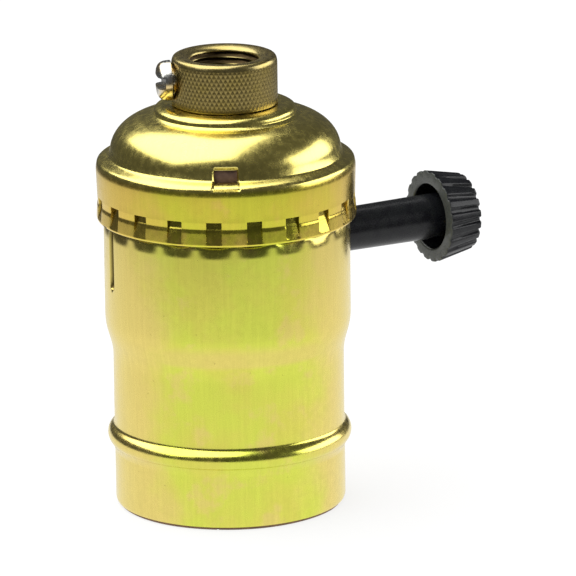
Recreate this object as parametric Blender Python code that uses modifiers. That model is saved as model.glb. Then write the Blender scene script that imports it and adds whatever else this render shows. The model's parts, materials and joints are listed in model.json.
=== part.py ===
"""Turn knob lamp socket: a brass-plated shell and cap around a moulded rotary switch.

The socket stands on its open end with +Z up, and the knob points along +X. The origin is on the socket's
axis, at the flat of the centre contact that touches the lamp. Sizes are in millimetres, and every helper
turns them into metres where it makes a mesh. A size named _UP is a height above the edge, seat or axis
that its piece starts from.
"""

import math

import bmesh
import bpy
from mathutils import Matrix, Vector

MM = 0.001
WELD = 0.00001
OVERRUN = 1.0

# Fits
CLEAR = 0.3
SPLIT = 0.3

# Lamp cavity
CONTACT_DEPTH = 26.0
LINER_PROUD = 0.45

# Outer shell
SHELL_WALL = 0.4
SHELL_STEP = 1.05
SHELL_NECK = 0.3
BEAD_UP = 9.65
BEAD_HALF = 2.0
BEAD_PROUD = 0.95
SHOULDER_UP = 22.1
SHOULDER_RISE = 3.7
SHOULDER_CORNER = 0.15
SHOULDER_SOFT = 0.28
EDGE_ROLL = 0.25
KEY_GROOVE_ANGLE = 172.4
KEY_GROOVE_LENGTH = 8.0
KEY_GROOVE_WIDTH = 1.0
KEY_GROOVE_DEPTH = 0.35

# Cap
CAP_WALL = 0.4
SKIRT_GAP = 0.55
SKIRT_OVER_STEM = 1.6
SKIRT_HEIGHT = 8.05
SKIRT_CORNER = 0.8
CREASE_UP = 2.3
CREASE_PROUD = 0.06
GROOVE_WIDTH = 1.2
GROOVE_DEPTH = 0.3
FLANGE_WIDTH = 2.0
DOME_WALL_HEIGHT = 1.5
DOME_RISE = 6.5
RING_WIDTH = 2.7
RING_INSIDE_CURVE = 2.9
RING_STEP = 0.45

# Pockets pressed into the skirt, and the dimples that they hold in the shell
POCKETS = 20
POCKET_ANGLE = -124.2
POCKET_WIDTH = 2.0
POCKET_HEIGHT = 3.1
POCKET_FOOT = 0.5
POCKET_DEPTH = 0.65
DIMPLE_DEPTH = 0.45
DIMPLE_BELOW = 2.2

# Lanced windows at the foot of the dome
WINDOWS = 2
WINDOW_ANGLE = -118.6
WINDOW_WIDTH = 3.4
WINDOW_HEIGHT = 1.8
WINDOW_UP = 0.5

# Bushing and its set screw
BUSHING_WALL = 2.8
BUSHING_HEIGHT = 6.7
BUSHING_EDGE = 0.7
BORE_R = 4.6
BORE_CHAMFER = 0.75
SPIGOT_WALL = 1.3
STAKE_LIP = 1.0
STAKE_HEIGHT = 0.8
SET_SCREW_ANGLE = 159.0
SET_SCREW_UP = 3.3
SET_SCREW_SHANK_R = 2.0
SET_SCREW_HEAD_R = 2.9
SET_SCREW_HEAD = 2.2
SET_SCREW_BEVEL = 0.7
SET_SCREW_SLOT = 1.4
SET_SCREW_SLOT_DEPTH = 1.1

# Liners
LINER_GAP = 1.15
LINER_WALL = 0.7
CAP_LINER_WALL = 0.35

# Screw shell for a medium lamp base
THREAD_MAJOR_R = 13.3
THREAD_DEPTH = 0.75
THREAD_PITCH = 3.629
THREAD_ROWS = 4
SCREW_SHELL_WALL = 0.35
SCREW_SHELL_RECESS = 4.5
SCREW_SHELL_PLAIN = 4.0
SCREW_SHELL_CORNER = 1.0

# Moulded switch body
FLOOR_ABOVE_CONTACT = 3.6
FLOOR_WALL = 1.5
CHAMBER_ROOM = 0.4
BEARING_LENGTH = 4.0
BODY_EDGE = 0.5

# Switch shaft, rotor and contacts
SHAFT_R = 1.6
DRUM_R = 3.4
DRUM_HALF = 4.4
CAM_FLAT = 2.9
CAM_WIDTH = 2.2
CAM_EDGE = 0.5
BAND_WALL = 0.5
BAND_WIDTH = 3.0
BAND_SWEEP = 200.0
BAND_MIDDLE = 45.0
STRIP_WALL = 0.5
STRIP_WIDTH = 6.0
CONTACT_WIDTH = 4.0
CONTACT_PAD = 3.2
CONTACT_REACH = 5.2
CONTACT_CURL = 1.0
CONTACT_LEG = 1.8
TONGUE_UP = 1.3
TERMINAL_ROOM = 0.75
TERMINAL_SCREW_UP = 5.2
TERMINAL_MARGIN = 3.1
BODY_ABOVE_TERMINAL = 1.0
TERMINAL_SHANK_R = 1.7
TERMINAL_SHANK = 4.6
TERMINAL_HEAD_R = 3.3
TERMINAL_HEAD = 1.9
TERMINAL_SLOT = 0.9
FOOT_LENGTH = 3.0
SPRING_WALL = 0.35
SPRING_WIDTH = 1.6
RIVET_R = 1.2
RIVET_HEAD_R = 2.1
RIVET_HEAD = 0.9
RIVET_INSET = 4.2
RIVET_ANGLE = 45.0
HEAD_CROWN = 0.7

# Knob
STEM_ROOT_R = 3.08
STEM_END_R = 3.2
STEM_LENGTH = 15.45
KNOB_LENGTH = 5.3
KNOB_BACK_R = 6.6
KNOB_FRONT_R = 5.5
KNOB_EDGE = 0.3
KNOB_FACE_WALL = 1.1
CUP_R = 4.8
CUP_CHAMFER = 0.4
RIBS = 20
RIB_DEPTH = 0.4
SHAFT_IN_KNOB = 13.0

# Facets round each kind of turned piece
CAP_FACETS = 2 * POCKETS
SHELL_FACETS = 2 * POCKETS
THREAD_FACETS = 28
LINER_FACETS = 36
BODY_FACETS = 40
BUSHING_FACETS = 36
SMALL_FACETS = 16
KNOB_FACETS = 3 * RIBS

# Places that follow from the sizes above, from the lamp's base outwards
RIM_Z = LINER_PROUD - CONTACT_DEPTH
THREAD_LOW_Z = RIM_Z + SCREW_SHELL_RECESS
SCREW_SHELL_R = THREAD_MAJOR_R + SCREW_SHELL_WALL
LINER_IN_R = SCREW_SHELL_R + LINER_GAP
LINER_R = LINER_IN_R + LINER_WALL
SHELL_LOWER_R = LINER_R + CLEAR + SHELL_WALL
SHELL_UPPER_R = SHELL_LOWER_R + SHELL_STEP
NECK_R = SHELL_UPPER_R - SHELL_NECK
BODY_R = LINER_IN_R - 2 * CLEAR
RIVET_CIRCLE = BODY_R - RIVET_INSET

# Switch
FLOOR_Z = FLOOR_ABOVE_CONTACT
FLANGE_TOP_Z = FLOOR_Z - CLEAR
THREAD_HIGH_Z = FLANGE_TOP_Z - SCREW_SHELL_PLAIN
BAND_R = DRUM_R + CLEAR + BAND_WALL
TONGUE_Y = BAND_R + CLEAR + STRIP_WALL / 2
CHAMBER_R = TONGUE_Y + STRIP_WALL / 2 + CHAMBER_ROOM
CHAMBER_HALF = DRUM_HALF + CHAMBER_ROOM
KNOB_Z = FLOOR_Z + FLOOR_WALL + CHAMBER_R
BODY_TOP_Z = KNOB_Z + TERMINAL_SCREW_UP + TERMINAL_MARGIN + BODY_ABOVE_TERMINAL
LINER_TOP_Z = BODY_TOP_Z + CLEAR
HEAD_REACH = math.sqrt((LINER_IN_R - CLEAR) ** 2 - TERMINAL_HEAD_R ** 2)
TERMINAL_FLAT = HEAD_REACH - TERMINAL_ROOM - TERMINAL_HEAD - STRIP_WALL - 2 * CLEAR
STRIP_Y = TERMINAL_FLAT + CLEAR + STRIP_WALL / 2
RECESS_HALF = max(STRIP_WIDTH / 2, TERMINAL_HEAD_R) + CLEAR
CONTACT_BEND_Y = CONTACT_REACH + CONTACT_CURL / 2
FLANGE_HOLE_R = math.hypot(CONTACT_BEND_Y + STRIP_WALL, CONTACT_WIDTH / 2) + CLEAR

# Cap
SKIRT_Z = KNOB_Z + STEM_END_R + SKIRT_OVER_STEM
FLANGE_Z = SKIRT_Z + SKIRT_HEIGHT
DOME_Z = FLANGE_Z + DOME_WALL_HEIGHT
SKIRT_R = SHELL_UPPER_R + SKIRT_GAP + CAP_WALL
DOME_BASE_R = SKIRT_R - FLANGE_WIDTH
SHELL_TOP_Z = FLANGE_Z - GROOVE_DEPTH - CAP_WALL - CLEAR
POCKET_TOP_Z = SKIRT_Z + POCKET_FOOT + POCKET_HEIGHT
BUSHING_R = BORE_R + BUSHING_WALL
RING_R = BUSHING_R + RING_WIDTH
DOME_CENTRE_R = RING_R - RING_INSIDE_CURVE
DOME_ACROSS = DOME_BASE_R - DOME_CENTRE_R
RING_ANGLE = math.degrees(math.acos(RING_INSIDE_CURVE / DOME_ACROSS))
RING_Z = DOME_Z + DOME_RISE * math.sin(math.radians(RING_ANGLE))
CROWN_Z = RING_Z + RING_STEP
BUSHING_Z = CROWN_Z + CLEAR
SPIGOT_R = BORE_R + SPIGOT_WALL
CAP_HOLE_R = SPIGOT_R + CLEAR
SET_SCREW_Z = BUSHING_Z + SET_SCREW_UP

# Knob
KNOB_ROOT = SHELL_UPPER_R + CLEAR
KNOB_BACK = KNOB_ROOT + STEM_LENGTH
KNOB_FRONT = KNOB_BACK + KNOB_LENGTH
CUP_FLOOR = KNOB_FRONT - KNOB_FACE_WALL
SLOT_HALF = SHAFT_R + 2 * CLEAR


# Helpers

def clear_scene():
    for thing in list(bpy.data.objects):
        bpy.data.objects.remove(thing, do_unlink=True)


def new_collection(name):
    group = bpy.data.collections.new(name)
    bpy.context.scene.collection.children.link(group)
    return group


def new_material(name, colour, roughness, metallic):
    material = bpy.data.materials.new(name)
    material.use_nodes = True
    shader = material.node_tree.nodes["Principled BSDF"]
    shader.inputs["Base Color"].default_value = (*colour, 1.0)
    shader.inputs["Roughness"].default_value = roughness
    shader.inputs["Metallic"].default_value = metallic
    return material


def link(name, mesh, group):
    thing = bpy.data.objects.new(name, mesh)
    group.objects.link(thing)
    return thing


def settle(thing):
    """Replace an object's mesh by what its modifiers make of it."""
    bpy.context.view_layer.update()
    graph = bpy.context.evaluated_depsgraph_get()
    mesh = bpy.data.meshes.new_from_object(thing.evaluated_get(graph))
    thing.modifiers.clear()
    thing.data = mesh


def turned(name, outline, facets, group, closed=False):
    """Turn an outline of (radius, height) about Z. It runs down its outer side, top to bottom."""
    mesh = bpy.data.meshes.new(name)
    points = [(radius * MM, 0.0, height * MM) for radius, height in outline]
    edges = [(i, i + 1) for i in range(len(points) - 1)]
    if closed:
        edges.append((len(points) - 1, 0))
    mesh.from_pydata(points, edges, [])
    thing = link(name, mesh, group)
    screw = thing.modifiers.new("turn", "SCREW")
    screw.axis = "Z"
    screw.steps = facets
    screw.render_steps = facets
    screw.use_merge_vertices = True
    screw.merge_threshold = WELD
    settle(thing)
    return thing


def press(thing, push, beyond=0.0):
    """Move each point past a radius in or out by push(angle, height), in millimetres."""
    for vertex in thing.data.vertices:
        x, y, z = vertex.co
        radius = math.hypot(x, y)
        if radius > beyond * MM + WELD:
            moved = radius + push(math.degrees(math.atan2(y, x)), z / MM) * MM
            vertex.co = Vector((x * moved / radius, y * moved / radius, z))


def thicken(thing, wall, offset=-1.0):
    """Give a sheet its wall. With offset -1 the wall grows inwards from the modelled face."""
    solid = thing.modifiers.new("wall", "SOLIDIFY")
    solid.thickness = wall * MM
    solid.offset = offset
    solid.use_even_offset = True
    settle(thing)


def prism(name, outline, width, group, angles=(0.0,)):
    """Extrude an outline in the XZ plane along Y, and repeat it about Z at each angle."""
    mesh = bpy.data.meshes.new(name)
    work = bmesh.new()
    for angle in angles:
        turn = Matrix.Rotation(math.radians(angle), 4, "Z")
        corners = [work.verts.new((x * MM, -width / 2 * MM, z * MM)) for x, z in outline]
        face = work.faces.new(corners)
        grown = bmesh.ops.extrude_face_region(work, geom=[face])["geom"]
        moved = [part for part in grown if isinstance(part, bmesh.types.BMVert)]
        bmesh.ops.translate(work, verts=moved, vec=(0.0, width * MM, 0.0))
        bmesh.ops.transform(work, matrix=turn, verts=corners + moved)
    bmesh.ops.recalc_face_normals(work, faces=work.faces)
    work.to_mesh(mesh)
    work.free()
    return link(name, mesh, group)


def box(name, low, high, group):
    mesh = bpy.data.meshes.new(name)
    work = bmesh.new()
    bmesh.ops.create_cube(work, size=1.0)
    size = [(b - a) * MM for a, b in zip(low, high)]
    middle = [(a + b) / 2 * MM for a, b in zip(low, high)]
    bmesh.ops.scale(work, vec=size, verts=work.verts)
    bmesh.ops.translate(work, vec=middle, verts=work.verts)
    work.to_mesh(mesh)
    work.free()
    return link(name, mesh, group)


def rod(name, radius, low, high, facets, group):
    """A plain cylinder about its own Z axis, between two heights."""
    mesh = bpy.data.meshes.new(name)
    work = bmesh.new()
    bmesh.ops.create_cone(work, cap_ends=True, segments=facets, radius1=radius * MM, radius2=radius * MM,
                          depth=(high - low) * MM)
    bmesh.ops.translate(work, vec=(0.0, 0.0, (low + high) / 2 * MM), verts=work.verts)
    work.to_mesh(mesh)
    work.free()
    return link(name, mesh, group)


def aim(thing, angle, height):
    """Put an object's own Z axis level, at an angle round the socket and a height."""
    thing.location = (0.0, 0.0, height * MM)
    thing.rotation_euler = (0.0, math.radians(90.0), math.radians(angle))


def carve(thing, tool, how="DIFFERENCE"):
    """Cut a tool out of an object, or join it on, and keep the tool as a guide."""
    tool.hide_render = True
    tool.display_type = "WIRE"
    bpy.context.view_layer.update()
    step = thing.modifiers.new(how.lower(), "BOOLEAN")
    step.operation = how
    step.solver = "EXACT"
    step.object = tool
    settle(thing)


def bent_strip(name, path, width, wall, group):
    """A bent strip: its middle line in the YZ plane, its width along X."""
    mesh = bpy.data.meshes.new(name)
    rows = [[(side * width / 2 * MM, y * MM, z * MM) for side in (-1, 1)] for y, z in path]
    points = [point for row in rows for point in row]
    faces = [(2 * i, 2 * i + 1, 2 * i + 3, 2 * i + 2) for i in range(len(path) - 1)]
    mesh.from_pydata(points, [], faces)
    thing = link(name, mesh, group)
    thicken(thing, wall, offset=0.0)
    return thing


def round_off(thing):
    """Shade the round faces smooth and keep the sharp edges."""
    thing.data.shade_smooth()
    thing.data.set_sharp_from_angle(angle=math.radians(35.0))


def arc(centre, radii, start, end, steps):
    """Points on an ellipse about a centre, from one angle to another, both ends included."""
    points = []
    for step in range(steps + 1):
        angle = math.radians(start + (end - start) * step / steps)
        points.append((centre[0] + radii[0] * math.cos(angle), centre[1] + radii[1] * math.sin(angle)))
    return points


def spaced(count, first):
    return [first + 360.0 / count * step for step in range(count)]


# Outer case

def cut_shaft_slot(thing, name, top, guides):
    """The slot, open at the top edge, that lets the switch drop in with its shaft in place."""
    foot = rod(f"{name}_slot_foot", SLOT_HALF, 0.0, SKIRT_R, SMALL_FACETS, guides)
    aim(foot, 0.0, KNOB_Z)
    mouth = box(f"{name}_slot_mouth", (0.0, -SLOT_HALF, KNOB_Z), (SKIRT_R, SLOT_HALF, top), guides)
    for tool in (foot, mouth):
        carve(thing, tool)


def pocket_nearness(angle):
    """How near an angle is to the middle of a pocket: 1 at the middle, 0 between two pockets."""
    pitch = 360.0 / POCKETS
    off = abs((angle - POCKET_ANGLE + pitch / 2) % pitch - pitch / 2)
    return 1.0 - off / (pitch / 2)


def shell_push(angle, height):
    """Dimples behind the cap's pockets, which fade out a little below the skirt."""
    fade = min(1.0, max(0.0, (height - (SKIRT_Z - DIMPLE_BELOW)) / DIMPLE_BELOW))
    return -DIMPLE_DEPTH * fade * pocket_nearness(angle)


def make_outer_shell(parts, guides):
    bead_z = RIM_Z + BEAD_UP
    low_z = RIM_Z + SHOULDER_UP
    high_z = low_z + SHOULDER_RISE
    bead = arc((SHELL_LOWER_R, bead_z), (BEAD_PROUD, BEAD_HALF), 90.0, -90.0, 4)
    shoulder = [(SHELL_LOWER_R + SHELL_STEP * share, low_z + SHOULDER_RISE * rise)
                for share, rise in ((1.0, 1.0), (1.0 - SHOULDER_CORNER, 1.0 - SHOULDER_SOFT),
                                    (SHOULDER_CORNER, SHOULDER_SOFT), (0.0, 0.0))]
    outline = [(NECK_R, SHELL_TOP_Z), (NECK_R, SKIRT_Z + POCKET_FOOT), (SHELL_UPPER_R, SKIRT_Z - CLEAR),
               (SHELL_UPPER_R, SKIRT_Z - DIMPLE_BELOW), *shoulder, *bead,
               (SHELL_LOWER_R, RIM_Z + EDGE_ROLL), (SHELL_LOWER_R - EDGE_ROLL / 2, RIM_Z)]
    shell = turned("outer_shell", outline, SHELL_FACETS, parts)
    shell.data.transform(Matrix.Rotation(math.radians(POCKET_ANGLE), 4, "Z"))
    press(shell, shell_push)
    thicken(shell, SHELL_WALL)

    cut_shaft_slot(shell, "shell", SHELL_TOP_Z + OVERRUN, guides)

    top = SKIRT_Z + CLEAR
    low = top - KEY_GROOVE_LENGTH
    radius = SHELL_UPPER_R - KEY_GROOVE_DEPTH
    behind = radius - SHELL_WALL
    middle = SHELL_UPPER_R - SHELL_WALL / 2
    backing = [(behind, top), (behind, low), (middle, low - SHELL_WALL), (middle, top)]
    rib = prism("key_rib", backing, KEY_GROOVE_WIDTH + 2 * SHELL_WALL, guides, [KEY_GROOVE_ANGLE])
    carve(shell, rib, "UNION")
    hollow = [(radius, top), (radius, low), (SKIRT_R, low), (SKIRT_R, top)]
    groove = prism("key_groove", hollow, KEY_GROOVE_WIDTH, guides, [KEY_GROOVE_ANGLE])
    carve(shell, groove)
    return shell


def dome_outline(inset, foot, steps):
    """The dome from its ring down to its foot, set in from the cap's outside."""
    radii = (DOME_ACROSS - inset, DOME_RISE - inset)
    return [*arc((DOME_CENTRE_R, DOME_Z), radii, RING_ANGLE, 0.0, steps), (DOME_BASE_R - inset, foot)]


def make_cap(parts, guides):
    corner = arc((SKIRT_R - SKIRT_CORNER, FLANGE_Z - SKIRT_CORNER), (SKIRT_CORNER, SKIRT_CORNER),
                 90.0, 0.0, 2)
    groove_mid = DOME_BASE_R + GROOVE_WIDTH / 2
    outline = [(CAP_HOLE_R, CROWN_Z), (RING_R - RING_STEP, CROWN_Z), *dome_outline(0.0, FLANGE_Z, 6),
               (groove_mid, FLANGE_Z - GROOVE_DEPTH), *corner,
               (SKIRT_R + CREASE_PROUD, SKIRT_Z + CREASE_UP), (SKIRT_R, SKIRT_Z)]
    cap = turned("cap", outline, CAP_FACETS, parts)
    thicken(cap, CAP_WALL)

    foot = SKIRT_Z + POCKET_FOOT
    inner = SKIRT_R - POCKET_DEPTH
    middle = SKIRT_R - CAP_WALL / 2
    backing = [(middle, foot), (middle, POCKET_TOP_Z), (inner - CAP_WALL, POCKET_TOP_Z),
               (middle - CAP_WALL, foot + CAP_WALL)]
    tabs = prism("pocket_tabs", backing, POCKET_WIDTH + 2 * CAP_WALL, guides, spaced(POCKETS, POCKET_ANGLE))
    carve(cap, tabs, "UNION")
    hollow = [(SKIRT_R + CLEAR, foot), (SKIRT_R - CREASE_PROUD, foot), (inner, POCKET_TOP_Z),
              (SKIRT_R + CLEAR, POCKET_TOP_Z)]
    pockets = prism("pocket_hollows", hollow, POCKET_WIDTH, guides, spaced(POCKETS, POCKET_ANGLE))
    carve(cap, pockets)

    low = FLANGE_Z + WINDOW_UP
    high = low + WINDOW_HEIGHT
    outside = DOME_BASE_R + CAP_WALL
    inside = DOME_BASE_R - 3 * CAP_WALL
    opening = [(inside, low), (outside, low), (outside, high), (inside, high)]
    windows = prism("windows", opening, WINDOW_WIDTH, guides, spaced(WINDOWS, WINDOW_ANGLE))
    carve(cap, windows)
    return cap


def make_bushing(parts, guides):
    top = BUSHING_Z + BUSHING_HEIGHT
    under = CROWN_Z - CAP_WALL - CLEAR
    lip_r = SPIGOT_R + STAKE_LIP
    outline = [(BORE_R + BORE_CHAMFER, top), (BUSHING_R - BUSHING_EDGE, top),
               (BUSHING_R, top - BUSHING_EDGE), (BUSHING_R, BUSHING_Z), (SPIGOT_R, BUSHING_Z),
               (SPIGOT_R, under), (lip_r, under), (lip_r, under - STAKE_HEIGHT),
               (BORE_R, under - STAKE_HEIGHT), (BORE_R, top - BORE_CHAMFER)]
    bushing = turned("bushing", outline, BUSHING_FACETS, parts, closed=True)
    hole = rod("set_screw_hole", SET_SCREW_SHANK_R + CLEAR, BORE_R / 2, BUSHING_R + OVERRUN,
               SMALL_FACETS, guides)
    aim(hole, SET_SCREW_ANGLE, SET_SCREW_Z)
    carve(bushing, hole)
    return bushing


def make_set_screw(parts, guides):
    seat = BUSHING_R + CLEAR
    face = seat + SET_SCREW_HEAD
    outline = [(0.0, face), (SET_SCREW_HEAD_R - SET_SCREW_BEVEL, face),
               (SET_SCREW_HEAD_R, face - SET_SCREW_BEVEL), (SET_SCREW_HEAD_R, seat),
               (SET_SCREW_SHANK_R, seat), (SET_SCREW_SHANK_R, BORE_R + CLEAR), (0.0, BORE_R + CLEAR)]
    screw = turned("set_screw", outline, SMALL_FACETS, parts)
    aim(screw, SET_SCREW_ANGLE, SET_SCREW_Z)
    reach = SET_SCREW_HEAD_R + OVERRUN
    slot = box("set_screw_slot", (-SET_SCREW_SLOT / 2, -reach, face - SET_SCREW_SLOT_DEPTH),
               (SET_SCREW_SLOT / 2, reach, face + OVERRUN), guides)
    aim(slot, SET_SCREW_ANGLE, SET_SCREW_Z)
    carve(screw, slot)
    return screw


# Liners

def make_shell_liner(parts, guides):
    outline = [(LINER_R, LINER_TOP_Z), (LINER_R, -CONTACT_DEPTH),
               (LINER_IN_R, -CONTACT_DEPTH), (LINER_IN_R, LINER_TOP_Z)]
    liner = turned("shell_liner", outline, LINER_FACETS, parts, closed=True)
    cut_shaft_slot(liner, "liner", LINER_TOP_Z + OVERRUN, guides)
    return liner


def make_cap_liner(parts):
    inset = CAP_WALL + CLEAR
    outline = dome_outline(inset, LINER_TOP_Z + CLEAR, 4)
    liner = turned("cap_liner", outline, LINER_FACETS, parts)
    thicken(liner, CAP_LINER_WALL)
    return liner


# Lamp screw shell

def thread_push(angle, height):
    """A rolled right-hand thread that fades out at the open end and below the plain neck."""
    run_in = THREAD_PITCH / 2
    fade = min(1.0, max(0.0, (height - THREAD_LOW_Z) / run_in), max(0.0, (THREAD_HIGH_Z - height) / run_in))
    turn = height / THREAD_PITCH - angle / 360.0
    return -THREAD_DEPTH * fade * (0.5 - 0.5 * math.cos(2 * math.pi * turn))


def make_screw_shell(parts, guides):
    length = THREAD_HIGH_Z - THREAD_LOW_Z
    rows = round(length / THREAD_PITCH * THREAD_ROWS)
    thread = [(SCREW_SHELL_R, THREAD_HIGH_Z - length * row / rows) for row in range(rows + 1)]
    corner = arc((SCREW_SHELL_R - SCREW_SHELL_CORNER, FLANGE_TOP_Z - SCREW_SHELL_CORNER),
                 (SCREW_SHELL_CORNER, SCREW_SHELL_CORNER), 90.0, 0.0, 2)
    shell = turned("screw_shell", [(FLANGE_HOLE_R, FLANGE_TOP_Z), *corner, *thread], THREAD_FACETS, parts)
    press(shell, thread_push)
    thicken(shell, SCREW_SHELL_WALL)
    for tool in rivet_holes("flange_rivet", FLANGE_TOP_Z - SCREW_SHELL_WALL, FLANGE_TOP_Z, guides):
        carve(shell, tool)
    return shell


# Moulded body

def rivet_place(angle):
    turn = math.radians(angle)
    return RIVET_CIRCLE * math.cos(turn), RIVET_CIRCLE * math.sin(turn)


def rivet_holes(name, low, high, guides):
    tools = []
    for side, angle in (("front", RIVET_ANGLE + 180.0), ("back", RIVET_ANGLE)):
        tool = rod(f"{name}_{side}", RIVET_R + CLEAR, low - OVERRUN, high + OVERRUN, SMALL_FACETS, guides)
        x, y = rivet_place(angle)
        tool.location = (x * MM, y * MM, 0.0)
        tools.append(tool)
    return tools


def chamber_tools(name, guides):
    """The switch chamber, and the bearings for the shaft on both sides of it."""
    chamber = rod(f"{name}_chamber", CHAMBER_R, -CHAMBER_HALF, CHAMBER_HALF, LINER_FACETS, guides)
    bearing = rod(f"{name}_bearing", SHAFT_R + CLEAR, -CHAMBER_HALF - BEARING_LENGTH, BODY_R + OVERRUN,
                  SMALL_FACETS, guides)
    for tool in (chamber, bearing):
        aim(tool, 0.0, KNOB_Z)
    return [chamber, bearing]


def make_lower_body(parts, guides):
    top = KNOB_Z - SPLIT / 2
    body = rod("lower_body", BODY_R, FLOOR_Z, top, BODY_FACETS, parts)
    strap = box("lower_strap_recess", (-RECESS_HALF, -BODY_R - OVERRUN, FLOOR_Z - OVERRUN),
                (RECESS_HALF, -TERMINAL_FLAT, top + OVERRUN), guides)
    foot_top = FLANGE_TOP_Z + CLEAR + STRIP_WALL + CLEAR
    foot = box("lower_foot_recess", (-RECESS_HALF, -TERMINAL_FLAT - OVERRUN, FLOOR_Z - OVERRUN),
               (RECESS_HALF, FOOT_LENGTH + CLEAR - STRIP_Y, foot_top), guides)
    leg_x = CONTACT_WIDTH / 2 + CLEAR
    leg_y = STRIP_WALL / 2 + CLEAR
    leg = box("lower_leg_slot", (-leg_x, CONTACT_LEG - leg_y, FLOOR_Z - OVERRUN),
              (leg_x, CONTACT_LEG + leg_y, KNOB_Z), guides)
    for tool in (*chamber_tools("lower", guides), strap, foot, leg,
                 *rivet_holes("lower_rivet", FLOOR_Z, top, guides)):
        carve(body, tool)
    return body


def make_upper_body(parts, guides):
    low = KNOB_Z + SPLIT / 2
    body = turned("upper_body", [(0.0, BODY_TOP_Z), (BODY_R - BODY_EDGE, BODY_TOP_Z),
                                 (BODY_R, BODY_TOP_Z - BODY_EDGE), (BODY_R, low), (0.0, low)],
                  BODY_FACETS, parts)
    tools = [*chamber_tools("upper", guides),
             *rivet_holes("upper_rivet", low, BODY_TOP_Z, guides)]
    for side, name in ((1, "hot"), (-1, "neutral")):
        ends = sorted((side * TERMINAL_FLAT, side * (BODY_R + OVERRUN)))
        tools.append(box(f"{name}_recess", (-RECESS_HALF, ends[0], low - OVERRUN),
                         (RECESS_HALF, ends[1], BODY_TOP_Z + OVERRUN), guides))
        hole = rod(f"{name}_screw_hole", TERMINAL_SHANK_R + CLEAR, STRIP_Y - TERMINAL_SHANK - CLEAR,
                   BODY_R + OVERRUN, SMALL_FACETS, guides)
        aim(hole, side * 90.0, KNOB_Z + TERMINAL_SCREW_UP)
        tools.append(hole)
    tongue_top = KNOB_Z + TONGUE_UP + STRIP_WALL / 2 + CLEAR
    tools.append(box("hot_tongue_slot", (-RECESS_HALF, 0.0, low - OVERRUN),
                     (RECESS_HALF, TERMINAL_FLAT + OVERRUN, tongue_top), guides))
    for tool in tools:
        carve(body, tool)
    return body


# Contacts and terminals

def make_centre_contact(parts):
    pad_z = STRIP_WALL / 2
    tab_z = KNOB_Z - BAND_R - CLEAR - STRIP_WALL / 2
    base_z = FLOOR_Z - CLEAR - STRIP_WALL / 2
    path = [(CONTACT_LEG - CONTACT_PAD, tab_z), (CONTACT_LEG, tab_z), (CONTACT_LEG, base_z),
            (CONTACT_REACH, base_z), (CONTACT_BEND_Y, base_z - CONTACT_CURL),
            (CONTACT_PAD / 2, pad_z), (-CONTACT_PAD / 2, pad_z),
            (-CONTACT_PAD / 2 - CONTACT_CURL, pad_z + CONTACT_CURL)]
    return bent_strip("centre_contact", path, CONTACT_WIDTH, STRIP_WALL, parts)


def make_terminal(name, side, path, parts, guides):
    strip = bent_strip(name, path, STRIP_WIDTH, STRIP_WALL, parts)
    hole = rod(f"{name}_hole", TERMINAL_SHANK_R + CLEAR, TERMINAL_FLAT, BODY_R, SMALL_FACETS, guides)
    aim(hole, side * 90.0, KNOB_Z + TERMINAL_SCREW_UP)
    carve(strip, hole)
    return strip


def make_hot_terminal(parts, guides):
    path = [(TONGUE_Y, KNOB_Z - TONGUE_UP), (TONGUE_Y, KNOB_Z + TONGUE_UP), (STRIP_Y, KNOB_Z + TONGUE_UP),
            (STRIP_Y, KNOB_Z + TERMINAL_SCREW_UP + TERMINAL_MARGIN)]
    return make_terminal("hot_terminal", 1, path, parts, guides)


def make_neutral_terminal(parts, guides):
    foot_z = FLANGE_TOP_Z + CLEAR + STRIP_WALL / 2
    path = [(-STRIP_Y, KNOB_Z + TERMINAL_SCREW_UP + TERMINAL_MARGIN), (-STRIP_Y, foot_z),
            (FOOT_LENGTH - STRIP_Y, foot_z)]
    return make_terminal("neutral_terminal", -1, path, parts, guides)


def make_terminal_screw(name, side, parts, guides):
    seat = STRIP_Y + STRIP_WALL / 2 + CLEAR
    face = seat + TERMINAL_HEAD
    tip = STRIP_Y - TERMINAL_SHANK
    crown_r = TERMINAL_HEAD_R * HEAD_CROWN
    outline = [(0.0, face), (crown_r, face), (TERMINAL_HEAD_R, face - TERMINAL_HEAD / 2),
               (TERMINAL_HEAD_R, seat), (TERMINAL_SHANK_R, seat), (TERMINAL_SHANK_R, tip), (0.0, tip)]
    screw = turned(name, outline, SMALL_FACETS, parts)
    slot = box(f"{name}_slot", (-TERMINAL_SLOT / 2, -TERMINAL_HEAD_R - OVERRUN, face - TERMINAL_SLOT),
               (TERMINAL_SLOT / 2, TERMINAL_HEAD_R + OVERRUN, face + OVERRUN), guides)
    for thing in (screw, slot):
        aim(thing, side * 90.0, KNOB_Z + TERMINAL_SCREW_UP)
    carve(screw, slot)
    return screw


def make_body_rivet(name, angle, parts):
    low = FLANGE_TOP_Z - SCREW_SHELL_WALL - CLEAR
    high = BODY_TOP_Z + CLEAR
    crown_r = RIVET_HEAD_R * HEAD_CROWN
    crown = RIVET_HEAD * HEAD_CROWN
    outline = [(0.0, high + RIVET_HEAD), (crown_r, high + crown), (RIVET_HEAD_R, high), (RIVET_R, high),
               (RIVET_R, low), (RIVET_HEAD_R, low), (crown_r, low - crown), (0.0, low - RIVET_HEAD)]
    rivet = turned(name, outline, SMALL_FACETS, parts)
    x, y = rivet_place(angle)
    rivet.location = (x * MM, y * MM, 0.0)
    return rivet


# Switch, about its own Z axis, which the knob axis lays along X

def make_drive_shaft(parts, axis):
    end = -CHAMBER_HALF - BEARING_LENGTH + CLEAR
    shaft = rod("drive_shaft", SHAFT_R, end, KNOB_ROOT + SHAFT_IN_KNOB, SMALL_FACETS, parts)
    shaft.parent = axis
    return shaft


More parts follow.
